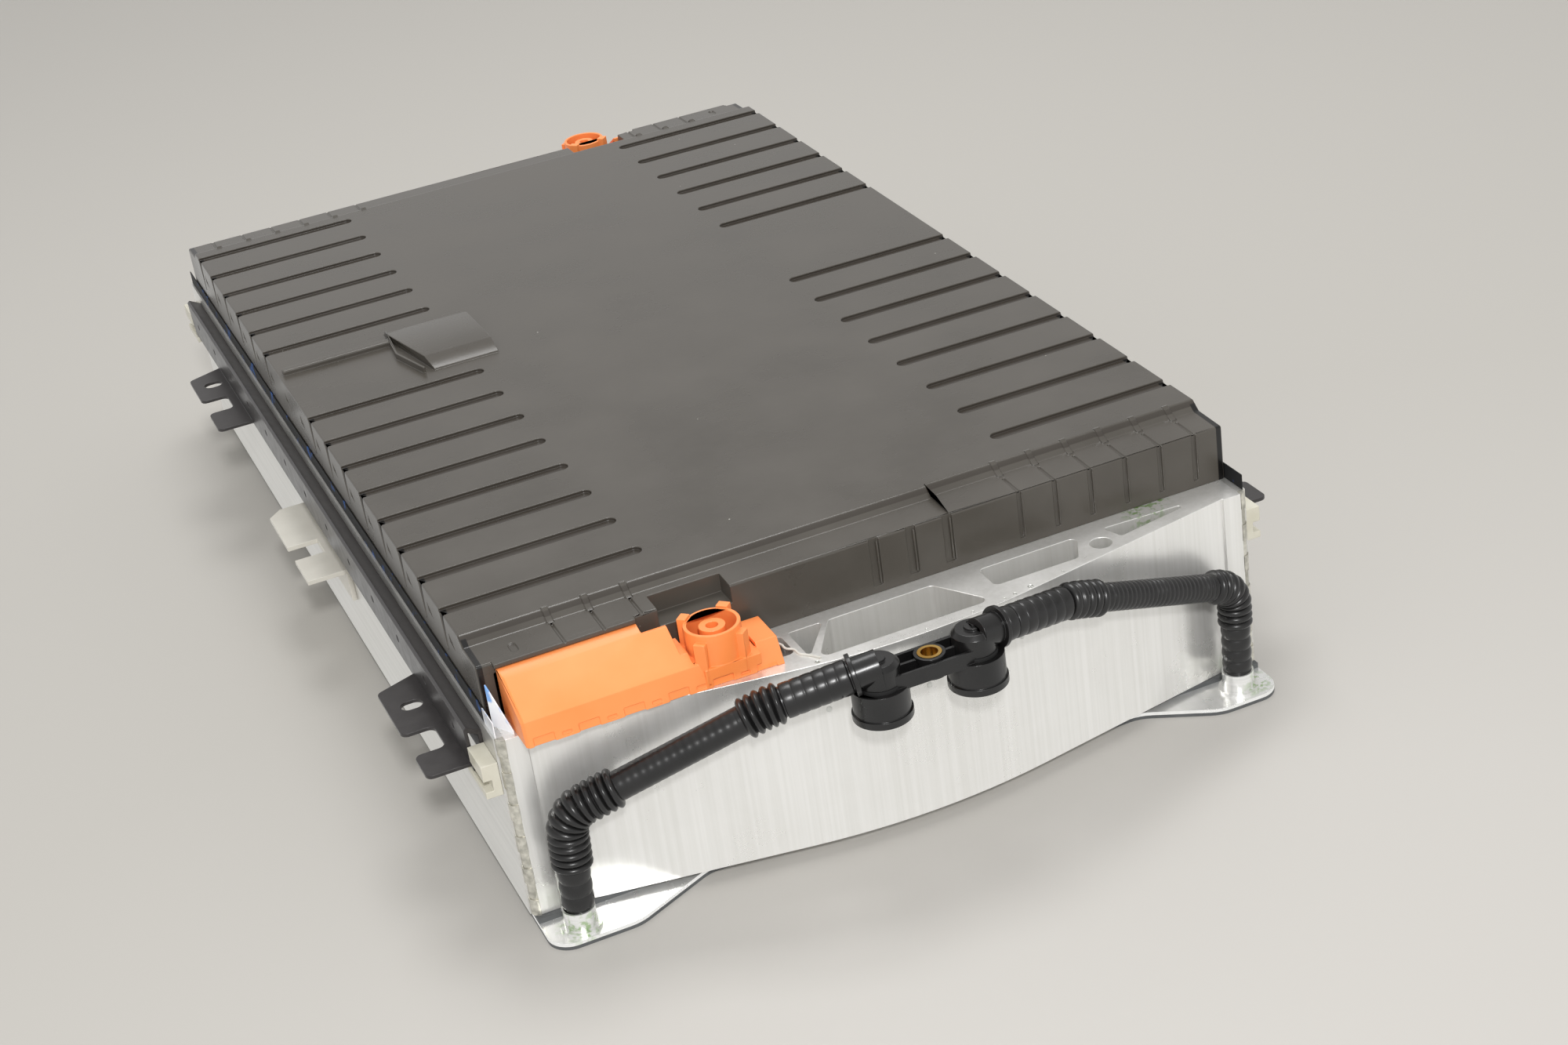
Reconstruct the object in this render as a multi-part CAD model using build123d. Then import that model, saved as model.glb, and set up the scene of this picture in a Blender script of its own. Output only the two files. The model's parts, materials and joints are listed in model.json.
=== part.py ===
"""EV battery module: pouch cells in a welded aluminium frame on a liquid cold plate.

Two bowed, extruded end plates and two sheet side plates are welded into a
frame. The cells stand in it on a gap filler and a two-sheet cold plate, a
formed plastic cover closes the top, an orange high-voltage connector sits at
each end, and two corrugated hoses join the cold plate to a quick-connect
manifold at the nose of the front end plate.

Module frame used below: X from the middle, Y from the corner plane of the
front end plate, Z from the underside of the frame. The finished pieces are
moved so that the origin is at the middle of the bottom of the module.
"""
import os
from math import pi, sin, sqrt

from build123d import *

# ------------------------------------------------------------------ sizes, mm
# Frame
module_width = 434.0             # over the two side plates
module_length = 744.0            # between the corner planes of the end plates
frame_height = 107.0             # end plates and side plates
fit = 0.2                        # running clearance between loose pieces
through = 1.0                    # cutters reach this far past the face they cut

# Extruded end plates
end_plate_depth = 24.0           # from the corner plane back to the cells
bow_depth = 30.4                 # nose of the bow ahead of the corner plane
nose_half_width = 67.0           # half of the curved nose, then straight flanks
nose_radius = 370.0
edge_band_width = 11.0           # flat welding band at each end of the bow
edge_band_rise = 1.2             # band stands this far ahead of the flank
rear_web = 12.5                  # solid rear wall behind the chambers
chamber_fillet = 3.5
middle_chamber_back = 30.0       # half widths of the middle chamber
middle_chamber_front = 49.0
middle_web = 6.5                 # wall in front of the middle chamber
side_chamber_inner = 57.5        # side chamber from here ...
side_chamber_outer = 117.0       # ... to here along the back wall
side_chamber_taper = 10.0        # its front wall is this much shorter
side_chamber_web = 8.0
web_pocket_outer = 53.0          # small pocket beside the middle chamber
web_thickness = 3.5
tie_hole_gap = 7.2               # from the side chamber to the middle of the tie hole
tie_hole_radius = 6.0
tie_hole_setback = 11.5          # behind the bowed face
flank_chamber_gap = 8.8          # from the middle of the tie hole to the flank chamber
flank_chamber_slant = 4.0
flank_chamber_margin = 11.0      # flank chamber ends this far inside the welding band
flank_web = 9.5
flank_chamber_fillet = 1.5

# Side plates and their welds
side_wall = 3.0
weld_land = 5.0                  # thickened ends that lap the end plates
weld_setback = 4.0               # land ends behind the corner plane
weld_radius = 4.3
weld_ripple = 0.6
weld_pitch = 9.0

# Cold plate stack
filler_thickness = 3.0
upper_sheet = 2.0
lower_sheet = 2.0
plate_inset = 2.0                # sheets end inside the side plates
plate_overhang = 3.0             # beyond the rear corner plane
plate_front_y = -5.7             # sheet edge under the front end plate
filler_front_y = -3.0
lobe_front_y = -28.6             # lobes that carry the hose spigots
lobe_corner_radius = 13.0
left_lobe_width = 47.0
right_lobe_width = 39.0
left_lobe_run = 47.0             # slanted edge from the lobe back to the sheet
right_lobe_run = 39.0
lobe_blend_radius = 24.0
channel_count = 8
channel_width = 34.0
channel_depth = 1.1
channel_margin = 46.0

# Cooling spigots and hoses
left_spigot_inset = 19.0
right_spigot_inset = 20.0
left_spigot_setback = 13.0       # behind the lobe's front edge
right_spigot_setback = 14.0
spigot_foot_radius = 11.0
spigot_foot_height = 1.6
spigot_radius = 8.75
spigot_wall = 1.0
spigot_floor = 2.0
spigot_top = 9.0
spigot_bore = 4.6
hose_bore = 5.9
hose_end_radius = 7.6
lower_bend = {-1: (2.7, -0.8), 1: (0.7, 0.2)}             # from the spigot, in plan
left_bend_drop = 42.0            # lower bend below the top of the frame
right_bend_drop = 45.1
upper_bend = {-1: (-43.5, 9.8, -8.1), 1: (45.5, 9.8, -5.4)}   # from the manifold end
hose_reach = 14.5                # hoses end this far from the cups
left_end_rise = 2.0              # hose ends above the top of the frame
right_end_rise = 1.6
bend_radii = (16.0, 60.0)
hose_radius = {-1: 7.9, 1: 7.2}
# Runs of raised rings: start and end along the hose, pitch, radius, width
hose_rings = {
    -1: (
        (16.0, 37.0, 7.0, 8.7, 4.0),
        (37.0, 94.0, 4.1, 10.9, 2.3),
        (-58.0, -37.0, 4.2, 11.0, 2.2),
        (-33.0, -2.0, 7.7, 9.6, 4.0),
    ),
    1: (
        (14.0, 38.0, 6.0, 8.2, 4.0),
        (38.0, 76.0, 4.2, 9.6, 2.4),
        (-68.0, -35.0, 4.7, 9.9, 2.6),
        (-31.0, -2.0, 7.2, 9.4, 4.0),
    ),
}

# Quick-connect manifold
manifold_lead = 19.0             # axis of the cups ahead of the nose of the bow
manifold_middle_x = -3.0
cup_spacing = 54.0
cup_radius = 15.0
cup_wall = 3.2
cup_bottom_drop = 26.0           # rim of the cups below the top of the frame
cup_height = 18.0
cup_lip_height = 4.0
cup_lip_rise = 0.9
cup_floor_gap = 2.0              # bore of a cup ends this far above its shoulder
neck_radius = 11.6
neck_height = 14.2
dome_chamfer = 2.4
button_radius = 4.6
button_rise = 1.4
passage_radius = 4.6
barb_length = 9.0
collar_radius = 11.2
collar_thickness = 2.4
arm_radius = 8.6
flange_drop = 1.5                # flange starts this far below the shoulder
flange_thickness = 3.0
flange_half_depth = 10.5
flange_rib_height = 5.6
flange_rib = 1.8
sleeve_boss_radius = 8.4
sleeve_x = -1.0
sleeve_radius = 6.4
sleeve_bore = 4.55
sleeve_rise = 7.2                # above the flange
sleeve_drop = 2.0                # below the flange
seal_height = 3.0
seal_thickness = 1.8
clip_height = 1.8
clip_thickness = 1.4

# Cover
cover_side_gap = 2.2             # cover stands inside the outer faces of the side plates
cover_setback = 21.0             # behind the corner plane at each end
cover_rise = 37.5                # top above the frame
cover_wall = 2.2
strip_drop = 5.2                 # lower strip along the front and back edges
strip_depth = 23.0
strip_slope = 0.6
shoulder_run = 6.0               # rise from the strip to the top
shoulder_jog = 2.0
shoulder_jog_x = 49.0
skirt_edge_radius = 1.4
shoulder_foot_radius = 2.0
shoulder_top_radius = 3.0
cover_edge_radius = 1.0
groove_pitch = 40.0              # one bay of cells
first_groove_gap = 57.1          # from the front skirt
last_groove_gap = 40.0           # at least this far from the rear skirt
groove_length = 111.3
groove_width = 8.4
groove_depth = 1.9
notch_depth = 3.0
notch_drop = 22.0
notch_taper = 7.0
dart_drop = 8.5                  # small sunk dart near the top of each bay's side
dart_height = 7.0
dart_width = 8.7
dart_depth = 1.2
dart_gap = 9.1                   # ahead of the groove behind it
skirt_rib_pitch = 21.4
skirt_rib_inset = 17.7           # last skirt groove from the right side
skirt_rib_count = 6
wide_rib_first = 7               # the wide grooves are the seventh to ninth from there
wide_rib_count = 3
skirt_rib_width = 2.6
wide_skirt_rib_width = 5.5
skirt_rib_depth = 1.1
skirt_rib_foot = 4.4             # stops this far above the skirt's edge
strip_line_width = 1.5
strip_line_depth = 0.6
saddle_width = 3.6
saddle_rise = 1.1
saddle_reach = 3.0               # over the strip and the top beside the shoulder
left_saddle_inset = 46.8         # first of the three saddles from the left side
left_saddle_count = 3
oval_inset = 22.8                # small sunk oval near the left front corner
oval_setback = 8.0
oval_length = 9.0
oval_width = 4.0
lip_outer_inset = 8.8            # lip over the connector, from the left side
lip_inner_inset = 84.8
lip_reach = 3.0                  # ahead of the skirt
lip_thickness = 2.6
window_inset = 8.8               # skirt window behind each connector
window_width = 75.0
window_drop = 11.5               # its upper edge below the top of the cover
ledge_inset = 97.8               # recess behind the connector tower
ledge_width = 40.0
ledge_depth = 15.0
ledge_drop = 15.5
block_inset = 73.8               # raised block with a side pocket, from the left side
block_width = 54.0
block_start = 6.0                # its front edge behind the middle of the module
block_length = 66.0
block_rise = 6.0
block_bevel = 12.0
block_ramp = 16.0                # run-out of its top at the back
block_edge = 1.5
block_slant = 12.0               # its left side moves in by this much at the front
pocket_wall = 1.6
pocket_gap = 7.0
pocket_rise = 4.0
bar_width = 6.2
bar_height = 3.4
bar_inset = 3.0
bar_setback = 7.0                # ahead of the block's back edge
bar_radius = 1.4

# High-voltage connectors
housing_inset = 12.0             # left end inside the outer face of the side plate
housing_width = 139.0
panel_width = 88.4               # tall part on the left
lid_width = 75.0                 # its part that reaches up under the cover's lip
housing_front_y = -15.6
housing_gap = 1.0                # between housing and cover skirt
crease_y = -12.5                 # upright front face up to here
crease_rise = 13.3
ridge_y = 11.0
ridge_rise = 26.8
lid_gap = 0.6                    # under the cover's lip
panel_back_y = 13.0
stair_count = 2
stair_run = 4.0
stair_rise = 3.6
base_rise = 10.5                 # low part round the tower
base_back_y = 16.0
end_block_width = 12.0
end_block_rise = 13.0
end_block_front_y = -8.5
housing_corner = 1.6
housing_wall = 2.2
tower_inset = 108.5              # from the left end to the middle of the tower
tower_y = -0.6
tower_radius = 14.8
tower_bore = 12.8
tower_rise = 28.0
tower_lug_radius = 15.6
tower_lug_width = 6.4
tower_lug_depth = 5.0
rear_lug_rise = 1.6
front_lug_drop = 3.5
post_radius = 7.0
post_bore = 3.2
post_drop = 1.6
pin_drop = 6.0
snap_pitch = 24.0
snap_start = 4.0
snap_width = 11.0
snap_height = 4.4
snap_depth = 0.8
window_slot_width = 5.0
window_slot_height = 1.8
window_slot_rise = 1.2

# Protective flap of film beside each connector
flap_gauge = 0.5
flap_foot_inset = 4.0            # from the outer face of the side plate
flap_foot_y = 16.4
flap_tip_inset = 10.6
flap_tip_y = 3.0
flap_height = 24.0

# Rails, brackets and pads at the sides
rail_gauge = 2.0
rail_front_y = 28.0
rail_rear_gap = 29.0
rail_leaf_drop = 21.0            # lower edge of the leaf below the top of the frame
rail_leaf_height = 14.0
rail_crest_drop = 3.0
rail_crest_chamfer = 1.5
rail_reach = 9.0                 # outer face of the rail from the side plate
rail_lean = 1.0
tab_drop = 27.0                  # upper face of the tabs below the top of the frame
tab_reach = 31.3
tab_gap_reach = 14.0             # bottom of the gap between two tabs
tab_fillet = 4.0
tab_root_flare = 10.0
front_tabs = (33.0, 57.0, 80.0, 130.0)
rear_tabs = (214.0, 183.0, 160.0, 118.0)   # back from the rear corner plane
slot_reach = 18.0
slot_width = 9.0
slot_length = 12.0
front_slot_y = 107.7
rear_slot_gap = 135.1
dimple_count = 13
dimple_radius = 2.2
dimple_depth = 0.5
bracket_front = 52.0             # ahead of the middle of the module
bracket_length = 108.0
bracket_drop = 47.0
bracket_gauge = 3.0
bracket_reach = 27.0
bracket_leg = 22.0
bracket_slot_start = 32.0
bracket_slot_length = 20.0
bracket_slot_reach = 8.0
bracket_chamfer = 8.5
pad_length = 23.0
pad_width = 9.0
pad_height = 9.0
pad_drop = 14.0
pad_tongue = 9.0
pad_tongue_height = 4.0
film_gauge = 0.5
film_height = 9.0
film_gap = 0.4

# Cell stack
cells_per_bay = 4
cell_thickness = 9.6
cell_room = 36.0                 # side plates to the cell bodies
cell_headroom = 16.3             # under the inside of the cover
seal_flange = 11.0
flange_gauge = 1.2
flange_step = 4.0
pad_gauge = 1.6                  # foam pad between two bays
insulator_gauge = 3.0
carrier_gauge = 6.0
carrier_step = 8.0               # carriers end this far below the cells
busbar_gauge = 2.0
busbar_step = 15.0               # busbars end this far inside the carrier's edges
busbar_margin = 3.0
board_gauge = 1.6
board_height = 14.0

# ------------------------------------------------------- places worked out
half_width = module_width / 2
middle_y = module_length / 2
end_plate_half = half_width - weld_land
band_x = end_plate_half - edge_band_width
chamber_back_y = end_plate_depth - rear_web
nose_edge_y = -bow_depth + nose_radius - sqrt(nose_radius**2 - nose_half_width**2)
tie_hole_x = side_chamber_outer + tie_hole_gap
flank_chamber_inner = tie_hole_x + flank_chamber_gap
flank_chamber_outer = band_x - flank_chamber_margin

stack_depth = filler_thickness + upper_sheet + lower_sheet
upper_sheet_top = -filler_thickness
lower_sheet_top = upper_sheet_top - upper_sheet
plate_edge = half_width - plate_inset
flap_foot_x = half_width - flap_foot_inset
flap_tip_x = half_width - flap_tip_inset

manifold_y = -bow_depth - manifold_lead
cup_x = {-1: manifold_middle_x - cup_spacing / 2, 1: manifold_middle_x + cup_spacing / 2}
cup_bottom = frame_height - cup_bottom_drop
cup_shoulder = cup_bottom + cup_height
cup_bore_top = cup_shoulder + cup_floor_gap
dome_top = cup_shoulder + neck_height
flange_bottom = cup_shoulder - flange_drop
flange_top = flange_bottom + flange_thickness
sleeve_top = flange_top + sleeve_rise
sleeve_bottom = flange_bottom - sleeve_drop
front_reach = manifold_y - cup_radius - cup_lip_rise
rear_reach = module_length + bow_depth
origin_y = (front_reach + rear_reach) / 2

cover_half_width = half_width - cover_side_gap
cover_front_y = cover_setback
cover_back_y = module_length - cover_setback
cover_top = frame_height + cover_rise
strip_height = cover_top - strip_drop
first_groove_y = cover_front_y + first_groove_gap
groove_count = int((cover_back_y - last_groove_gap - first_groove_y) // groove_pitch) + 1
block_y = (middle_y + block_start, middle_y + block_start + block_length)
block_x = (-cover_half_width + block_inset, -cover_half_width + block_inset + block_width)
grooves_y = [first_groove_y + groove_pitch * n for n in range(groove_count)]
grooves_y = [y for y in grooves_y if not block_y[0] < y < block_y[1]]
groove_inner_x = cover_half_width - groove_length
skirt_ribs = [cover_half_width - skirt_rib_inset - skirt_rib_pitch * n for n in range(skirt_rib_count)]
wide_ribs = [
    cover_half_width - skirt_rib_inset - skirt_rib_pitch * (wide_rib_first + n) for n in range(wide_rib_count)
]
saddle_xs = [-cover_half_width + left_saddle_inset + skirt_rib_pitch * n for n in range(left_saddle_count)]
saddle_xs += skirt_ribs

housing_outer_x = half_width - housing_inset
housing_inner_x = housing_outer_x - housing_width
panel_x = housing_outer_x - panel_width
lid_x = housing_outer_x - lid_width
housing_back_y = cover_front_y - housing_gap
lip_bottom = strip_height - lip_thickness
tower_x = housing_outer_x - tower_inset
tower_top = frame_height + tower_rise

rail_rear_y = module_length - rail_rear_gap
rail_leaf_bottom = frame_height - rail_leaf_drop
rail_leaf_top = rail_leaf_bottom + rail_leaf_height
rail_crest_top = frame_height - rail_crest_drop
rail_outer_x = half_width + rail_reach
rail_foot = frame_height - tab_drop
tab_outer_x = half_width + tab_reach
tab_inner_x = half_width + tab_gap_reach
slot_x = half_width + slot_reach
rear_slot_y = module_length - rear_slot_gap
bracket_y = (middle_y - bracket_front, middle_y - bracket_front + bracket_length)
bracket_top = frame_height - bracket_drop
bracket_outer_x = half_width + bracket_reach
bracket_slot_x = half_width + bracket_slot_reach
pad_top = frame_height - pad_drop

bay_pitch = groove_pitch
bay_room = module_length - 2 * (end_plate_depth + insulator_gauge)
bay_count = int(bay_room // bay_pitch)
cell_gap = (bay_pitch - pad_gauge - cells_per_bay * cell_thickness) / cells_per_bay
stack_front_y = (module_length - bay_count * bay_pitch) / 2
cell_half_width = half_width - side_wall - cell_room
cell_height = cover_top - cover_wall - cell_headroom
carrier_height = cell_height - carrier_step
busbar_height = carrier_height - 2 * busbar_step

# Left and right values, keyed by the sign of the side
sides = (-1, 1)
lobe_width = {-1: left_lobe_width, 1: right_lobe_width}
lobe_run = {-1: left_lobe_run, 1: right_lobe_run}
spigot_x = {-1: left_spigot_inset - plate_edge, 1: plate_edge - right_spigot_inset}
spigot_y = {-1: lobe_front_y + left_spigot_setback, 1: lobe_front_y + right_spigot_setback}
lower_bend_z = {-1: frame_height - left_bend_drop, 1: frame_height - right_bend_drop}
hose_end_z = {-1: frame_height + left_end_rise, 1: frame_height + right_end_rise}
hose_end_x = {side: cup_x[side] + side * hose_reach for side in sides}


# ------------------------------------------------------------------- helpers
def block(x, y, z):
    """Box between the given pairs of limits."""
    low = (min(x), min(y), min(z))
    size = (abs(x[1] - x[0]), abs(y[1] - y[0]), abs(z[1] - z[0]))
    return Pos(*low) * Box(*size, align=(Align.MIN, Align.MIN, Align.MIN))


def prism(points, bottom, top, radius=0.0):
    """Upright prism on a plan outline, with its vertical edges rounded."""
    face = make_face(Polyline(*points, close=True))
    if radius:
        face = fillet(face.vertices(), radius)
    return extrude(Pos(0, 0, bottom) * face, top - bottom)


def rod(x, y, bottom, top, radius):
    """Upright cylinder."""
    seat = (Align.CENTER, Align.CENTER, Align.MIN)
    return Pos(x, y, bottom) * Cylinder(radius, top - bottom, align=seat)


def along_x(points, start, end):
    """Prism along X on a profile of (Y, Z) points."""
    face = make_face(Polyline(*[(start, y, z) for y, z in points], close=True))
    return extrude(face, end - start, dir=(1, 0, 0))


def along_y(points, start, end):
    """Prism along Y on a profile of (X, Z) points."""
    face = make_face(Polyline(*[(x, start, z) for x, z in points], close=True))
    return extrude(face, end - start, dir=(0, 1, 0))


def turned(shape):
    """The same piece at the other end of the module."""
    return Pos(0, module_length, 0) * Rot(0, 0, 180) * shape


def mirrored(shape):
    """The same piece on the other side of the module."""
    return mirror(shape, about=Plane.YZ)


def bow_y(x):
    """Bowed face of the end plate at a distance x from the middle."""
    x = abs(x)
    if x <= nose_half_width:
        return -bow_depth + nose_radius - sqrt(nose_radius**2 - x**2)
    share = (x - nose_half_width) / (band_x - nose_half_width)
    return nose_edge_y + share * (edge_band_rise - nose_edge_y)


# ------------------------------------------------------------ welded frame
def end_plate():
    """Extruded bow: flat welding bands, straight flanks, curved nose, chambers."""
    with BuildPart() as plate:
        with BuildSketch():
            with BuildLine():
                left = Polyline(
                    (-nose_half_width, nose_edge_y),
                    (-band_x, edge_band_rise),
                    (-band_x, 0),
                    (-end_plate_half, 0),
                    (-end_plate_half, end_plate_depth),
                    (end_plate_half, end_plate_depth),
                    (end_plate_half, 0),
                    (band_x, 0),
                    (band_x, edge_band_rise),
                    (nose_half_width, nose_edge_y),
                )
                ThreePointArc(left @ 1, (0, -bow_depth), left @ 0)
            make_face()
        extrude(amount=frame_height)
    shape = plate.part
    return shape - chambers()


def chambers():
    """Hollow chambers and tie holes that run the full height of the extrusion."""
    low, high = -through, frame_height + through
    middle_front = bow_y(middle_chamber_front) + middle_web
    cuts = [
        prism(
            [
                (-middle_chamber_back, chamber_back_y),
                (-middle_chamber_front, middle_front),
                (middle_chamber_front, middle_front),
                (middle_chamber_back, chamber_back_y),
            ],
            low, high, chamber_fillet,
        )
    ]
    side_short = side_chamber_outer - side_chamber_taper
    side_front = bow_y(side_short) + side_chamber_web
    flank_start = flank_chamber_inner + flank_chamber_slant
    hole_y = bow_y(tie_hole_x) + tie_hole_setback
    for side in sides:
        side_chamber = [
            (side * side_chamber_inner, chamber_back_y),
            (side * side_chamber_inner, side_front),
            (side * side_short, side_front),
            (side * side_chamber_outer, chamber_back_y),
        ]
        flank_chamber = [
            (side * flank_chamber_inner, chamber_back_y),
            (side * flank_start, bow_y(flank_start) + flank_web),
            (side * flank_chamber_outer, bow_y(flank_chamber_outer) + flank_web),
        ]
        cuts.append(prism(side_chamber, low, high, chamber_fillet))
        cuts.append(rod(side * tie_hole_x, hole_y, low, high, tie_hole_radius))
        cuts.append(prism(flank_chamber, low, high, flank_chamber_fillet))
    pocket = [
        (-middle_chamber_back - web_thickness, chamber_back_y),
        (-web_pocket_outer, chamber_back_y),
        (-web_pocket_outer, middle_front + web_thickness),
    ]
    cuts.append(prism(pocket, low, high, flank_chamber_fillet))
    return cuts


def side_plate():
    """Right side plate: a wall with a thickened welding land at each end."""
    start, end = weld_setback, module_length - weld_setback
    wall = block((half_width - side_wall, half_width), (start, end), (0, frame_height))
    for edge, back in ((start, end_plate_depth), (module_length - end_plate_depth, end)):
        wall += block((end_plate_half, half_width), (edge, back), (0, frame_height))
    return wall


def weld_bead():
    """Right front corner weld: a rippled quarter-round run up the corner."""
    count = int(frame_height // weld_pitch)
    step = frame_height / count
    bead = None
    for n in range(count):
        radius = weld_radius - (weld_ripple if n % 2 else 0)
        run = rod(end_plate_half, weld_setback, n * step, (n + 1) * step, radius)
        bead = run if bead is None else bead + run
    corner = block(
        (end_plate_half, end_plate_half + 2 * weld_radius),
        (weld_setback, weld_setback - 2 * weld_radius),
        (0, frame_height),
    )
    return bead & corner


# ----------------------------------------------------------- cold plate stack
def plate_outline():
    """Plan of the cold plate sheets with the two front lobes."""
    rear = module_length + plate_overhang
    left_tip, right_tip = (plate_edge - lobe_width[side] for side in sides)
    points = [
        (-plate_edge, rear),
        (-plate_edge, lobe_front_y),
        (-left_tip, lobe_front_y),
        (-left_tip + lobe_run[-1], plate_front_y),
        (right_tip - lobe_run[1], plate_front_y),
        (right_tip, lobe_front_y),
        (plate_edge, lobe_front_y),
        (plate_edge, rear),
    ]
    face = make_face(Polyline(*points, close=True))
    inner = [v for v in face.vertices() if v.Y < rear / 2 and abs(v.X) < plate_edge - through]
    face = fillet(inner, lobe_blend_radius)
    tips = [v for v in face.vertices() if v.Y < rear / 2 and abs(v.X) > plate_edge - through]
    return fillet(tips, lobe_corner_radius)


def cold_plate_upper():
    """Flat upper sheet, pierced under the two spigots."""
    sheet = extrude(Pos(0, 0, lower_sheet_top) * plate_outline(), upper_sheet)
    for side in sides:
        sheet -= rod(spigot_x[side], spigot_y[side], lower_sheet_top - through, through, spigot_bore)
    return sheet


def cold_plate_lower():
    """Lower sheet with the coolant channels pressed into its upper face."""
    bottom = lower_sheet_top - lower_sheet
    sheet = extrude(Pos(0, 0, bottom) * plate_outline(), lower_sheet)
    width = 2 * plate_edge - channel_margin
    pitch = width / channel_count
    depth = (lower_sheet_top - channel_depth, lower_sheet_top + through)
    cuts = []
    for n in range(channel_count):
        x = -width / 2 + pitch * (n + 0.5)
        run = (channel_margin, module_length - channel_margin)
        cuts.append(block((x - channel_width / 2, x + channel_width / 2), run, depth))
    for side in sides:
        x, y = spigot_x[side], spigot_y[side]
        cuts.append(block((x - spigot_bore, x + spigot_bore), (y, channel_margin + channel_width), depth))
        cuts.append(rod(x, y, *depth, spigot_bore))
    return sheet - cuts


def gap_filler():
    """Cast layer between the frame with its cells and the cold plate."""
    run = (filler_front_y, module_length + plate_overhang)
    return block((-plate_edge, plate_edge), run, (-filler_thickness, 0))


def spigot(side):
    """Socket brazed on the upper sheet that the hose end sits in."""
    x, y = spigot_x[side], spigot_y[side]
    foot = upper_sheet_top
    body = rod(x, y, foot, foot + spigot_foot_height, spigot_foot_radius)
    body += rod(x, y, foot, spigot_top, spigot_radius)
    body -= rod(x, y, foot + spigot_floor, spigot_top + through, spigot_radius - spigot_wall)
    return body - rod(x, y, foot - through, foot + spigot_floor + through, spigot_bore)


# ------------------------------------------------------------- coolant hoses
def hose_path(side):
    """Centre line: straight runs joined by tangent arcs."""
    start_x, start_y = spigot_x[side], spigot_y[side]
    end = (hose_end_x[side], manifold_y, hose_end_z[side])
    lower_x, lower_y = lower_bend[side]
    upper_x, upper_y, upper_z = upper_bend[side]
    return FilletPolyline(
        (start_x, start_y, upper_sheet_top + spigot_floor),
        (start_x + lower_x, start_y + lower_y, lower_bend_z[side]),
        (end[0] + upper_x, end[1] + upper_y, end[2] + upper_z),
        end,
        radius=list(bend_radii),
    )


def tube(path, radius):
    """Round bar swept along a path."""
    start = Plane(origin=path @ 0, z_dir=path % 0)
    return sweep(start * Circle(radius), path=path)


def ring(path, distance, radius, width):
    """Short disc square to the path at a distance along it."""
    share = distance / path.length
    place = Plane(origin=path @ share, z_dir=path % share)
    return place * Cylinder(radius, width)


def hose(side):
    """Hose with a plain lower end and runs of raised rings.

    A run's start and end are counted back from the manifold when negative.
    """
    path = hose_path(side)
    body = tube(path, hose_radius[side])
    discs = []
    for start, end, pitch, outer, width in hose_rings[side]:
        if start < 0:
            start, end = path.length + start, path.length + end
        count = round((end - start) / pitch)
        for n in range(count):
            distance = start + (end - start) * (n + 0.5) / count
            discs.append(ring(path, distance, outer, width))
    body = body + discs
    x, y = spigot_x[side], spigot_y[side]
    floor = upper_sheet_top + spigot_floor
    cuff = rod(x, y, upper_sheet_top, spigot_top + through, spigot_radius * 2)
    cuff -= rod(x, y, upper_sheet_top - through, spigot_top + 2 * through, hose_end_radius)
    cuff += rod(x, y, floor - spigot_radius, floor, spigot_radius * 2)
    return body - cuff - tube(path, hose_bore)


# --------------------------------------------------------- coolant manifold
def hose_seat(side):
    """Plane where a hose ends on its collar, with its axis into the manifold."""
    path = hose_path(side)
    return Plane(origin=path @ 1, z_dir=path % 1)


def manifold():
    """Moulded body: two quick-connect cups, hose barbs and a bolted flange."""
    body = flange()
    for side in sides:
        x = cup_x[side]
        seat = hose_seat(side)
        body += rod(x, manifold_y, cup_bottom, cup_shoulder, cup_radius)
        body += rod(x, manifold_y, cup_bottom, cup_bottom + cup_lip_height, cup_radius + cup_lip_rise)
        neck = rod(x, manifold_y, cup_shoulder, dome_top, neck_radius)
        body += chamfer(neck.edges().group_by(Axis.Z)[-1], dome_chamfer)
        body += rod(x, manifold_y, dome_top, dome_top + button_rise, button_radius)
        reach = abs(seat.origin.X - x) / abs(seat.z_dir.X)
        body += seat * Pos(0, 0, reach / 2) * Cylinder(arm_radius, reach)
        body += seat * Pos(0, 0, collar_thickness / 2) * Cylinder(collar_radius, collar_thickness)
        body += seat * Pos(0, 0, -barb_length / 2) * Cylinder(hose_bore - fit, barb_length)
        body -= seat * Pos(0, 0, (reach - barb_length) / 2) * Cylinder(passage_radius, reach + barb_length)
    for side in sides:
        x = cup_x[side]
        passage_top = hose_seat(side).origin.Z + passage_radius / 2
        body -= rod(x, manifold_y, cup_bottom - through, cup_bore_top, cup_radius - cup_wall)
        body -= rod(x, manifold_y, cup_bore_top - through, passage_top, passage_radius)
    seat_radius = sleeve_radius + fit / 4
    return body - rod(sleeve_x, manifold_y, sleeve_bottom - through, sleeve_top + through, seat_radius)


def flange():
    """Plate and ribs between the cups, with the boss of the clamp sleeve."""
    left, right = cup_x[-1], cup_x[1]
    front, back = manifold_y - flange_half_depth, manifold_y + flange_half_depth
    plate = block((left, right), (front, back), (flange_bottom, flange_top))
    ribs = (front, manifold_y - flange_rib / 2, back - flange_rib)
    for y in ribs:
        plate += block((left, right), (y, y + flange_rib), (flange_bottom, flange_top + flange_rib_height))
    plate += rod(sleeve_x, manifold_y, sleeve_bottom, sleeve_top - fit, sleeve_boss_radius)
    return plate


def compression_sleeve():
    """Brass sleeve that takes the clamp load of the manifold screw."""
    sleeve = rod(sleeve_x, manifold_y, sleeve_bottom, sleeve_top, sleeve_radius)
    return sleeve - rod(sleeve_x, manifold_y, sleeve_bottom - through, sleeve_top + through, sleeve_bore)


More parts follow.
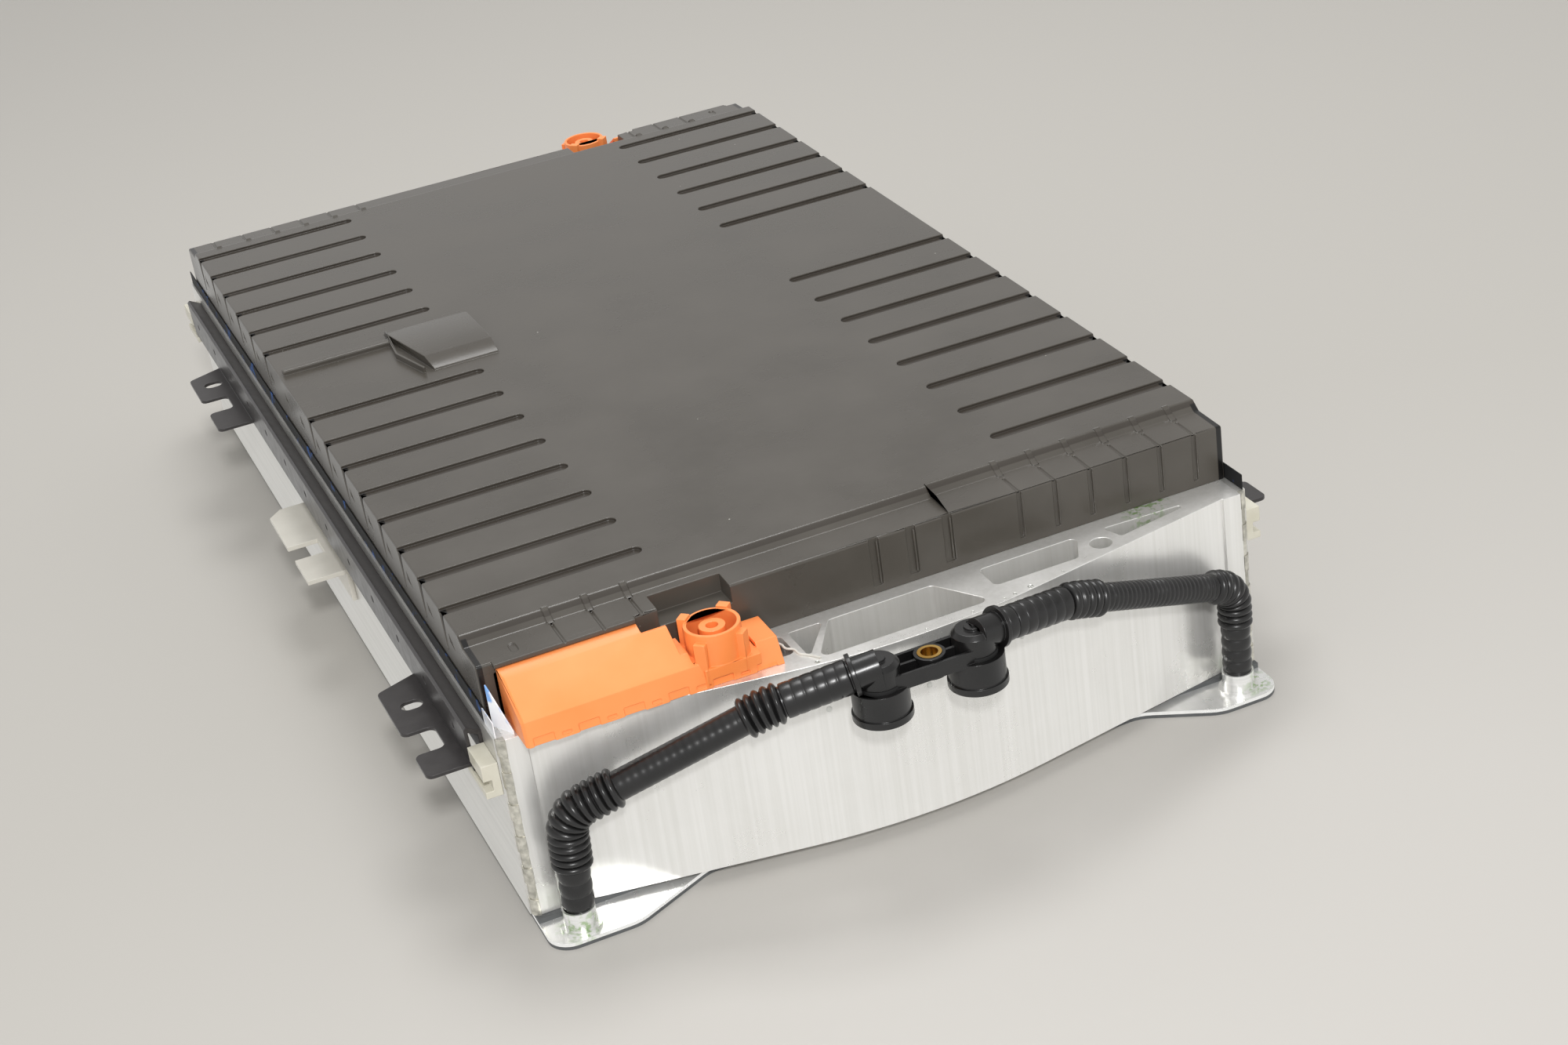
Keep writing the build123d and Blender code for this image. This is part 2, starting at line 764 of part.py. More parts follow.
def cup_rings(bottom, height, thickness):
    """One ring in each cup, seated on its bore."""
    rings = []
    outer = cup_radius - cup_wall
    low, high = bottom - through, bottom + height + through
    for x in cup_x.values():
        shape = rod(x, manifold_y, bottom, bottom + height, outer)
        rings.append(shape - rod(x, manifold_y, low, high, outer - thickness))
    return rings


# --------------------------------------------------------------------- cover
def cover_form(inset, jog, start, end):
    """Length along X of the cover's outer form, or of its hollow when inset."""
    front, back = cover_front_y + inset, cover_back_y - inset
    foot = frame_height - (through if inset else 0.0)
    low, high = strip_height - inset, cover_top - inset
    rise_front = cover_front_y + strip_depth - jog + inset
    rise_back = cover_back_y - strip_depth - inset
    profile = [
        (front, foot),
        (front, low),
        (rise_front, low + strip_slope),
        (rise_front + shoulder_run, high),
        (rise_back - shoulder_run, high),
        (rise_back, low + strip_slope),
        (back, low),
        (back, foot),
    ]
    face = make_face(Polyline(*[(start, y, z) for y, z in profile], close=True))
    if not inset:
        for level, radius in (
            (high, shoulder_top_radius),
            (low + strip_slope, shoulder_foot_radius),
            (low, skirt_edge_radius),
        ):
            face = fillet([v for v in face.vertices() if abs(v.Z - level) < fit], radius)
    return extrude(face, end - start, dir=(1, 0, 0))


def cover():
    """Formed cover with bay grooves, side notches, skirt ribs and raised block."""
    half = cover_half_width
    outer = cover_form(0.0, shoulder_jog, -half, shoulder_jog_x)
    outer += cover_form(0.0, 0.0, shoulder_jog_x, half)
    ends = [e for e in outer.edges() if abs(abs(e.center().X) - half) < fit]
    outer = fillet([e for e in ends if e.center().Z > strip_height - skirt_edge_radius], cover_edge_radius)
    inner = cover_form(cover_wall, 0.0, -half + cover_wall, half - cover_wall)
    inner -= groove_backs() + recess_backs()
    shell = outer + saddles() + [lip(), turned(lip()), raised_block(), pocket_rim(), raised_bar()]
    return shell - [inner] - groove_cuts() - darts() - skirt_cuts() - recess_cuts()


def groove_cuts():
    """Bay grooves: rounded troughs on the top that fall into the side notches."""
    cuts = []
    reach = cover_half_width + groove_width
    length = reach - groove_inner_x - groove_width / 2
    for y in grooves_y:
        for side in sides:
            middle = side * (groove_inner_x + groove_width / 2 + reach) / 2
            slot = Pos(middle, y, cover_top) * SlotCenterToCenter(length, groove_width)
            cuts.append(extrude(slot, -groove_depth))
            cuts.append(notch(side, y))
    return cuts


def notch(side, y):
    """Wedge that narrows down the side wall below a groove."""
    edge = side * (cover_half_width + through)
    root = side * (cover_half_width - notch_depth)
    foot_root = side * (cover_half_width - notch_depth / 3)
    wide = groove_width / 2 + through
    narrow = wide - notch_drop * sin(notch_taper * pi / 180)
    high, low = cover_top + through, cover_top - notch_drop
    top = make_face(Polyline((edge, y - wide, high), (root, y, high), (edge, y + wide, high), close=True))
    foot = Polyline((edge, y - narrow, low), (foot_root, y, low), (edge, y + narrow, low), close=True)
    return loft([top, make_face(foot)])


def groove_backs():
    """Wall left behind each groove and notch, so that the cover stays one skin."""
    backs = []
    wall = cover_half_width - cover_wall + through
    low = cover_top - groove_depth - cover_wall
    foot = cover_top - notch_drop - cover_wall
    for y in grooves_y:
        width = groove_width / 2 + cover_wall
        for side in sides:
            start = side * (groove_inner_x - cover_wall)
            backs.append(block((start, side * wall), (y - width, y + width), (low, cover_top)))
            depth = side * (cover_half_width - notch_depth - cover_wall)
            backs.append(block((depth, side * wall), (y - width, y + width), (foot, cover_top)))
    return backs


def darts():
    """Small three-cornered recesses near the top of each bay's side."""
    cuts = []
    top = cover_top - dart_drop
    for n in range(groove_count):
        back = first_groove_y + groove_pitch * n - dart_gap
        for side in sides:
            x = side * (cover_half_width - dart_depth)
            points = [
                (x, back, top),
                (x, back - dart_width, top - dart_height),
                (x, back, top - dart_height * 3 / 4),
            ]
            face = make_face(Polyline(*points, close=True))
            cuts.append(extrude(face, dart_depth + through, dir=(side, 0, 0)))
    return cuts


def skirt_cuts():
    """Vertical grooves down the front and rear skirts, and the lines that meet them."""
    cuts = []
    skirt = (cover_front_y - through, cover_front_y + skirt_rib_depth)
    height = (frame_height + skirt_rib_foot, strip_height + through)
    for xs, width in ((skirt_ribs, skirt_rib_width), (wide_ribs, wide_skirt_rib_width)):
        for x in xs:
            groove = block((x - width / 2, x + width / 2), skirt, height)
            cuts += [groove, turned(groove)]
    line_y = (cover_front_y - lip_reach - through, cover_front_y + strip_depth - shoulder_jog - saddle_reach)
    line_z = (strip_height - strip_line_depth, cover_top)
    for x in saddle_xs:
        line = block((x - strip_line_width / 2, x + strip_line_width / 2), line_y, line_z)
        cuts += [line, turned(line)]
    oval_x = -cover_half_width + oval_inset
    oval = Pos(oval_x, cover_front_y + oval_setback, strip_height + through) * Rot(0, 0, 90)
    oval = extrude(oval * SlotOverall(oval_length, oval_width), -through - strip_line_depth)
    return cuts + [oval, turned(oval)]


def saddles():
    """Small ribs that climb the shoulder of the cover."""
    ribs = []
    for x in saddle_xs:
        foot_y = cover_front_y + strip_depth - (shoulder_jog if x < shoulder_jog_x else 0.0)
        crest_y = foot_y + shoulder_run
        foot, crest = strip_height + strip_slope, cover_top
        profile = [
            (foot_y - saddle_reach, foot - through),
            (foot_y - saddle_reach, foot),
            (foot_y, foot + saddle_rise),
            (crest_y, crest + saddle_rise),
            (crest_y + saddle_reach, crest),
            (crest_y + saddle_reach, crest - through),
            (crest_y, crest - through),
            (foot_y, foot - through),
        ]
        rib = along_x(profile, x - saddle_width / 2, x + saddle_width / 2)
        ribs += [rib, turned(rib)]
    return ribs


def lip():
    """Brim of the strip that reaches over the front connector."""
    run = (-cover_half_width + lip_outer_inset, -cover_half_width + lip_inner_inset)
    return block(run, (cover_front_y - lip_reach, cover_front_y + cover_wall), (lip_bottom, strip_height))


def recess_cuts():
    """Window for each connector's neck and the recess behind its tower."""
    window_x = -cover_half_width + window_inset
    window = block(
        (window_x, window_x + window_width),
        (cover_front_y - through, cover_front_y + cover_wall + through),
        (frame_height - through, cover_top - window_drop),
    )
    ledge_x = -cover_half_width + ledge_inset
    ledge = block(
        (ledge_x, ledge_x + ledge_width),
        (cover_front_y - through, cover_front_y + ledge_depth),
        (cover_top - ledge_drop, cover_top + through),
    )
    return [window, ledge, turned(window), turned(ledge)]


def recess_backs():
    """Wall left round each ledge recess."""
    ledge_x = -cover_half_width + ledge_inset
    back = block(
        (ledge_x - cover_wall, ledge_x + ledge_width + cover_wall),
        (cover_front_y, cover_front_y + ledge_depth + cover_wall),
        (cover_top - ledge_drop - cover_wall, cover_top),
    )
    return [back, turned(back)]


def raised_block():
    """Block on the top that ramps up to a bevelled front, slanted on its left."""
    seat = cover_top - cover_wall / 2
    top = cover_top + block_rise
    left, right = block_x
    front, back = block_y
    profile = [
        (front, seat),
        (front, cover_top + through),
        (front + block_bevel, top),
        (back, top - block_edge),
        (back + block_ramp, seat),
    ]
    shape = along_x(profile, left, right)
    corner = [(left - through, front - through), (left + block_slant, front - through), (left, back)]
    side = prism(corner + [(left - through, back)], seat - through, top + through)
    return shape - side


def pocket_rim():
    """Thin upright wall that leaves a pocket open along the block's left side."""
    left = block_x[0]
    front, back = block_y
    points = [
        (left, back + pocket_gap),
        (left - pocket_gap / 2, (front + back) / 2),
        (left + block_slant - pocket_gap, front),
        (left + block_slant - pocket_gap + pocket_wall, front),
        (left - pocket_gap / 2 + pocket_wall, (front + back) / 2),
        (left + pocket_wall, back + pocket_gap),
    ]
    return prism(points, cover_top - cover_wall / 2, cover_top + pocket_rise)


def raised_bar():
    """Slim rounded bar that runs from near the left edge to the pocket's wall."""
    middle = block_y[1] - bar_setback
    run = (-cover_half_width + bar_inset, block_x[0])
    width = (middle - bar_width / 2, middle + bar_width / 2)
    bar = block(run, width, (cover_top - cover_wall / 2, cover_top + bar_height))
    return fillet(bar.edges().filter_by(Axis.X).group_by(Axis.Z)[-1], bar_radius)


# --------------------------------------------------- high-voltage connectors
def housing_section(points, start, end):
    """Length of the shell and of the hollow under it, from a side view above the frame."""
    front, back = housing_front_y, points[-1][0]
    outline = [(start, front, frame_height)]
    outline += [(start, y, frame_height + rise) for y, rise in points]
    outline += [(start, back, frame_height)]
    face = make_face(Polyline(*outline, close=True))
    shell = extrude(face, end - start, dir=(1, 0, 0))
    hollow = extrude(offset(face, -housing_wall, kind=Kind.INTERSECTION), end - start, dir=(1, 0, 0))
    mouth = block(
        (start, end),
        (front + housing_wall * 2, back - housing_wall),
        (frame_height - through, frame_height + housing_wall + through),
    )
    return shell, hollow + mouth


def panel_y(rise):
    """Where the sloped panel of the housing reaches a height above the frame."""
    return crease_y + (rise - crease_rise) / (ridge_rise - crease_rise) * (ridge_y - crease_y)


def housing_steps():
    """Sections of the housing from left to right: their side views and limits."""
    panel = [(crease_y, crease_rise), (ridge_y, ridge_rise)]
    lid_rise = lip_bottom - lid_gap - frame_height
    lid = [(cover_front_y - lip_reach, lid_rise), (housing_back_y, lid_rise)]
    base = [(housing_front_y, base_rise), (base_back_y, base_rise)]
    end_block = [(end_block_front_y, end_block_rise), (base_back_y, end_block_rise)]
    steps = [
        (panel + lid, -housing_outer_x, -lid_x),
        (panel + [(panel_back_y, ridge_rise)], -lid_x, -panel_x),
    ]
    start = -panel_x
    for n in range(stair_count):
        level = base_rise + stair_rise * (stair_count - n)
        stair = [panel[0], (panel_y(level), level), (panel_back_y, level)]
        steps.append((stair, start, start + stair_run))
        start += stair_run
    steps.append((base, start, -housing_inner_x - end_block_width))
    steps.append((end_block, -housing_inner_x - end_block_width, -housing_inner_x))
    return steps


def connector_housing():
    """Front housing: sloped shell, stepped towards a shrouded contact tower."""
    shells, hollows = [], []
    for points, start, end in housing_steps():
        shell, hollow = housing_section(points, start, end)
        shells.append(shell)
        hollows.append(hollow)
    body = shells[0] + shells[1:]
    left = [e for e in body.edges() if e.center().X < -housing_outer_x + fit and e.center().Y < ridge_y]
    body = chamfer([e for e in left if e.center().Z > frame_height + fit], housing_corner)
    inside = hollows[0] + hollows[1:]
    walls = block(
        (-housing_outer_x + housing_wall, -housing_inner_x - housing_wall),
        (housing_front_y, housing_back_y),
        (frame_height - through, tower_top),
    )
    foot, floor = frame_height, frame_height + housing_wall
    core = rod(-tower_x, tower_y, foot - 2 * through, tower_top, tower_radius)
    body -= inside & walls - core
    body += rod(-tower_x, tower_y, foot, tower_top, tower_radius)
    body += tower_lugs()
    body -= rod(-tower_x, tower_y, floor, tower_top + through, tower_bore)
    body += rod(-tower_x, tower_y, foot, tower_top - post_drop, post_radius)
    body -= rod(-tower_x, tower_y, foot - through, tower_top, post_bore)
    return body - snap_windows()


def tower_lugs():
    """Upright lugs round the tower, the rear pair higher than the front pair."""
    lugs = []
    for turn in range(4):
        top = tower_top + rear_lug_rise if turn < 2 else tower_top - front_lug_drop
        base = frame_height + housing_wall
        place = Pos(-tower_x, tower_y, (base + top) / 2) * Rot(0, 0, 45 + 90 * turn)
        lugs.append(place * Pos(tower_lug_radius, 0, 0) * Box(tower_lug_depth, tower_lug_width, top - base))
    return lugs


def snap_windows():
    """Shallow recesses and small windows along the lower front edge."""
    cuts = []
    run = housing_width - snap_start - snap_width
    spare = (snap_pitch - snap_width - window_slot_width) / 2
    for n in range(int(run // snap_pitch) + 1):
        x = -housing_outer_x + snap_start + snap_pitch * n
        cuts.append(front_recess(x, x + snap_width, -through, snap_height))
        slot_start = x + snap_width + spare
        slot_top = window_slot_rise + window_slot_height
        cuts.append(front_recess(slot_start, slot_start + window_slot_width, window_slot_rise, slot_top))
    return cuts


def front_recess(start, end, low, high):
    """Shallow cut that follows the leaning front face between two heights."""
    lean = (crease_y - housing_front_y) / crease_rise
    bottom, top = housing_front_y + lean * low, housing_front_y + lean * high
    profile = [
        (bottom - 3 * through, frame_height + low),
        (bottom + snap_depth, frame_height + low),
        (top + snap_depth, frame_height + high),
        (top - 3 * through, frame_height + high),
    ]
    return along_x(profile, start, end)


def contact():
    """Copper contact pin inside the tower's touch-proof post."""
    return rod(-tower_x, tower_y, frame_height, tower_top - pin_drop, post_bore)


# ------------------------------------------------ rails, brackets and pads
def rail():
    """Right rail: folded strip with two pairs of slotted tabs."""
    gauge, corner = rail_gauge, rail_crest_chamfer
    leaf = half_width
    foot_x = rail_outer_x - rail_lean
    profile = [
        (leaf, rail_leaf_bottom),
        (leaf, rail_leaf_top),
        (rail_outer_x - corner, rail_crest_top),
        (rail_outer_x, rail_crest_top - corner),
        (foot_x, rail_foot - gauge),
        (foot_x - gauge, rail_foot - gauge),
        (rail_outer_x - gauge, rail_crest_top - gauge - corner),
        (leaf + gauge, rail_leaf_top - gauge),
        (leaf + gauge, rail_leaf_bottom),
    ]
    shape = along_y(profile, rail_front_y, rail_rear_y)
    shape += tab_plate(front_tabs)
    shape += tab_plate([module_length - y for y in rear_tabs])
    for y in (front_slot_y, rear_slot_y):
        slot = Pos(slot_x, y, rail_foot + through) * SlotOverall(slot_length, slot_width)
        shape -= extrude(slot, -gauge - 2 * through)
    pitch = (rail_rear_y - rail_front_y) / dimple_count
    z = (rail_foot + rail_crest_top) / 2
    depth = 2 * (dimple_depth + rail_lean / 2)
    for n in range(dimple_count):
        place = Pos(rail_outer_x, rail_front_y + pitch * (n + 0.5), z) * Rot(0, 90, 0)
        shape -= place * Cylinder(dimple_radius, depth)
    return shape


def tab_plate(stations):
    """Two tabs with the gap between them, cut from one flat."""
    start, gap_start, gap_end, end = stations
    inner = rail_outer_x - rail_lean - rail_gauge
    points = [
        (inner, start),
        (tab_outer_x, start),
        (tab_outer_x, gap_start),
        (tab_inner_x, gap_start),
        (tab_inner_x, gap_end),
        (tab_outer_x, gap_end),
        (tab_outer_x, end),
        (inner, end + tab_root_flare),
    ]
    face = make_face(Polyline(*points, close=True))
    face = fillet([v for v in face.vertices() if v.X > inner + fit], tab_fillet)
    return extrude(Pos(0, 0, rail_foot - rail_gauge) * face, rail_gauge)


def mid_bracket():
    """Right mounting bracket: a leg on the side plate and a slotted shelf."""
    start, end = bracket_y
    foot = bracket_top - bracket_leg
    leg = block((half_width, half_width + bracket_gauge), (start, end), (foot, bracket_top))
    slot_start = start + bracket_slot_start
    slot_end = slot_start + bracket_slot_length
    points = [
        (half_width, start),
        (bracket_outer_x, start),
        (bracket_outer_x, slot_start),
        (bracket_slot_x, slot_start),
        (bracket_slot_x, slot_end),
        (bracket_outer_x, slot_end),
        (bracket_outer_x, end - bracket_chamfer),
        (bracket_outer_x - bracket_chamfer, end),
        (half_width, end),
    ]
    return leg + prism(points, bracket_top - bracket_gauge, bracket_top)


def rail_pad():
    """Right front pad: a moulded stop ahead of the rail with a tongue under it."""
    end = rail_front_y - fit
    start = end - pad_length
    wide = (half_width, half_width + pad_width)
    narrow = (half_width, half_width + pad_width / 2)
    pad_foot = pad_top - pad_height
    tongue_top = rail_foot - rail_gauge - fit
    pad = block(wide, (start, end), (pad_foot, pad_top))
    tongue = block(wide, (start, end + pad_tongue), (tongue_top - pad_tongue_height, tongue_top))
    web = block(narrow, (start, end), (tongue_top - through, pad_foot + through))
    return pad + tongue + web


def insulating_film():
    """Right film: a thin strip that stands between the cover and the rail."""
    start = cover_half_width + film_gap
    run = (weld_setback, module_length - weld_setback)
    return block((start, start + film_gauge), run, (frame_height, frame_height + film_height))


def film_flap():
    """Left front flap: a film gusset that leans out between the cover and the connector."""
    points = [
        (-flap_foot_x, flap_foot_y),
        (-flap_tip_x, flap_tip_y),
        (-flap_tip_x + flap_gauge, flap_tip_y),
        (-flap_foot_x + flap_gauge, flap_foot_y + flap_gauge),
    ]
    top = frame_height + flap_height
    sheet = prism(points, frame_height, top)
    above = along_x(
        [(flap_tip_y - through, frame_height), (flap_foot_y, top), (flap_tip_y - through, top)],
        -flap_foot_x - through,
        -flap_tip_x + through,
    )
    return sheet - above


# ---------------------------------------------------------------- cell stack
def cells():
    """Pouch cells: flat bodies with a thin seal flange at each end."""
    shapes = []
    half = cell_half_width
    reach = half + seal_flange
    for bay in range(bay_count):
        for n in range(cells_per_bay):
            y = stack_front_y + bay * bay_pitch + pad_gauge + n * (cell_thickness + cell_gap)
            body = block((-half, half), (y, y + cell_thickness), (0, cell_height))
            middle = y + cell_thickness / 2
            gauge = (middle - flange_gauge / 2, middle + flange_gauge / 2)
            shapes.append(body + block((-reach, reach), gauge, (0, cell_height - flange_step)))
    return shapes


def compression_pads():
    """Foam pads ahead of each bay."""
    half = cell_half_width
    pads = []
    for bay in range(bay_count):
        y = stack_front_y + bay * bay_pitch
        pads.append(block((-half, half), (y, y + pad_gauge), (0, cell_height)))
    return pads


def insulator():
    """Front insulating board between the end plate and the stack."""
    depth = (end_plate_depth, end_plate_depth + insulator_gauge)
    return block((-cell_half_width, cell_half_width), depth, (0, cell_height))


def carrier():
    """Right busbar carrier: a slotted board over the cell tabs."""
    start = cell_half_width + seal_flange + fit
    run = (stack_front_y, stack_front_y + bay_count * bay_pitch)
    return block((start, start + carrier_gauge), run, (0, carrier_height))


def busbars():
    """Right busbars: one bar over each bay, on the carrier's outer face."""
    start = cell_half_width + seal_flange + fit + carrier_gauge
    height = (busbar_step, busbar_step + busbar_height)
    bars = []
    for bay in range(bay_count):
        y = stack_front_y + bay * bay_pitch
        run = (y + busbar_margin, y + bay_pitch - busbar_margin)
        bars.append(block((start, start + busbar_gauge), run, height))
    return bars


def sense_board():
    """Right cell-sensing circuit along the top edge of the carrier."""
    start = cell_half_width + seal_flange + fit + carrier_gauge
    run = (stack_front_y + busbar_margin, stack_front_y + bay_count * bay_pitch - busbar_margin)
    foot = busbar_step + busbar_height
    return block((start, start + board_gauge), run, (foot, foot + board_height))


# ------------------------------------------------------------------- output
def save(node, shape):
    """Move a piece, or a group of separate solids, to the part's frame and write it."""
    solids = shape if isinstance(shape, list) else [shape]
    place = Pos(0, -origin_y, stack_depth)
    moved = [place * solid for solid in solids]
    result = moved[0] if len(moved) == 1 else Compound(children=moved)
    export_step(result, f"parts/{node}.step")


def main():
    os.makedirs("parts", exist_ok=True)
    plate = end_plate()
    save("front_end_plate", plate)
    save("rear_end_plate", turned(plate))
    side = side_plate()
    save("right_side_plate", side)
    save("left_side_plate", mirrored(side))
    bead = weld_bead()
    save("front_corner_welds", [bead, mirrored(bead)])
    save("rear_corner_welds", [turned(bead), turned(mirrored(bead))])

    save("cold_plate_upper", cold_plate_upper())
    save("cold_plate_lower", cold_plate_lower())
    save("gap_filler", gap_filler())
    save("left_spigot", spigot(-1))
    save("right_spigot", spigot(1))
    save("left_coolant_hose", hose(-1))
    save("right_coolant_hose", hose(1))
    save("coolant_manifold", manifold())
    save("compression_sleeve", compression_sleeve())
    save("cup_seals", cup_rings(cup_bore_top - seal_height, seal_height, seal_thickness))
    save("cup_clips", cup_rings(cup_bottom + cup_lip_height, clip_height, clip_thickness))

    save("top_cover", cover())
    housing = connector_housing()
    save("front_hv_housing", housing)
    save("rear_hv_housing", turned(housing))
    pin = contact()
    save("front_hv_contact", pin)
    save("rear_hv_contact", turned(pin))

    shape = rail()
    save("right_rail", shape)
    save("left_rail", mirrored(shape))
    bracket = mid_bracket()
    save("right_mid_bracket", bracket)
    save("left_mid_bracket", mirrored(bracket))
    pad = rail_pad()
    save("right_front_pad", pad)
    save("left_front_pad", mirrored(pad))
    save("left_rear_pad", turned(pad))
    save("right_rear_pad", turned(mirrored(pad)))
    film = insulating_film()
    flap = film_flap()
    save("right_film", [film, turned(flap)])
    save("left_film", [mirrored(film), flap])

    save("pouch_cells", cells())
    save("compression_pads", compression_pads())
    board = insulator()
    save("front_insulator", board)
    save("rear_insulator", turned(board))
    board = carrier()
    save("right_busbar_carrier", board)
    save("left_busbar_carrier", mirrored(board))
    bars = busbars()
    save("right_busbars", bars)
    save("left_busbars", [mirrored(bar) for bar in bars])
    board = sense_board()
    save("right_sense_board", board)
    save("left_sense_board", mirrored(board))


main()
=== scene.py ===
"""Looks of the EV battery module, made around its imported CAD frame."""
import json
from math import cos, pi, radians, sin, sqrt
from random import Random

import bpy
from mathutils import Matrix, Vector


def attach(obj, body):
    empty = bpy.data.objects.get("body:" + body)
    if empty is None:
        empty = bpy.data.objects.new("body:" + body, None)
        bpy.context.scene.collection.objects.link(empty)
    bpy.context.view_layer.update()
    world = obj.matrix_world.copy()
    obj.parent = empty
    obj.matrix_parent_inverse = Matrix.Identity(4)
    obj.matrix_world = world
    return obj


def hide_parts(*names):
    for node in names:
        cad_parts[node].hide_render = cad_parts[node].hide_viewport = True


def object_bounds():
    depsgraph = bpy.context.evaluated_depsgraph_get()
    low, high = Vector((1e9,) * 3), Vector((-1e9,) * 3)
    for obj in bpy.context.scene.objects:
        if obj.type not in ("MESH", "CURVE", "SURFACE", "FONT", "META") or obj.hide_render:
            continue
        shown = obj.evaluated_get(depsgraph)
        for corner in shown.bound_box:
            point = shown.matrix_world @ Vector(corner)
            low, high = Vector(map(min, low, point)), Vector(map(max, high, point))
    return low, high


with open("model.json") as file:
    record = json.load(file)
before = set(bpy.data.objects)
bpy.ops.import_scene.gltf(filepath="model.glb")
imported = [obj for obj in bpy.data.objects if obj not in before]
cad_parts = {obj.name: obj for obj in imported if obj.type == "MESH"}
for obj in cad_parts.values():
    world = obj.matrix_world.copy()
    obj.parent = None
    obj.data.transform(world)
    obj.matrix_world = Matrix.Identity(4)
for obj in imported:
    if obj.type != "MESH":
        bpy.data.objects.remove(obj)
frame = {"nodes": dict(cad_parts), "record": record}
cad_low, cad_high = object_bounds()
mm = 0.001


# ---------------------------------------------------------------- camera
CAMERA_PLACE = Vector((-0.4367, -1.4572, 0.7939))
CAMERA_AZIMUTH = radians(-19.32)
CAMERA_ELEVATION = radians(27.59)
CAMERA_ROLL = radians(-8.48)
LENS = 60.41
SENSOR = 36.0


def add_camera():
    """Camera above the left front corner, rolled a little."""
    a, e, r = CAMERA_AZIMUTH, CAMERA_ELEVATION, CAMERA_ROLL
    back = Vector((sin(a) * cos(e), -cos(a) * cos(e), sin(e)))
    level_right = Vector((cos(a), sin(a), 0))
    level_up = back.cross(level_right)
    right = cos(r) * level_right + sin(r) * level_up
    up = -sin(r) * level_right + cos(r) * level_up
    bpy.ops.object.camera_add(location=CAMERA_PLACE)
    camera = bpy.context.object
    turned = Matrix((right, up, back)).transposed().to_4x4()
    camera.matrix_world = Matrix.Translation(CAMERA_PLACE) @ turned
    camera.data.lens = LENS
    camera.data.sensor_width = SENSOR
    camera.data.clip_start = 0.01
    bpy.context.scene.camera = camera


add_camera()


# ------------------------------------------------------------- materials
def linear(code):
    """Linear colour of an sRGB hex value."""
    parts = [int(code[i:i + 2], 16) / 255 for i in (1, 3, 5)]
    return tuple(c / 12.92 if c <= 0.04045 else ((c + 0.055) / 1.055) ** 2.4 for c in parts) + (1.0,)


def new_material(name):
    """Empty node material with its shader and output."""
    material = bpy.data.materials.new(name)
    material.use_nodes = True
    tree = material.node_tree
    tree.nodes.clear()
    output = tree.nodes.new("ShaderNodeOutputMaterial")
    shader = tree.nodes.new("ShaderNodeBsdfPrincipled")
    tree.links.new(shader.outputs[0], output.inputs[0])
    return material, tree, shader


def add(tree, kind, sockets, stops=(), **settings):
    """Add a node with its properties, sockets and colour stops, and link the sockets given as outputs."""
    made = tree.nodes.new(kind)
    for key, value in settings.items():
        setattr(made, key, value)
    for key, value in sockets.items():
        if isinstance(value, bpy.types.NodeSocket):
            tree.links.new(value, made.inputs[key])
        else:
            made.inputs[key].default_value = value
    if stops:
        elements = made.color_ramp.elements
        while len(elements) < len(stops):
            elements.new(0.5)
        for element, (place, code) in zip(elements, stops):
            element.position = place
            element.color = linear(code)
    return made


# heights in metres: a little under the floors of the cover's grooves, and a little over its flat top
BELOW_GROOVES, ABOVE_COVER = 0.1490, 0.1520
# half widths in metres: a little inside the cover's deepest notch, and a little outside its skirt
INSIDE_NOTCHES, OUTSIDE_SKIRT = 0.2110, 0.2150


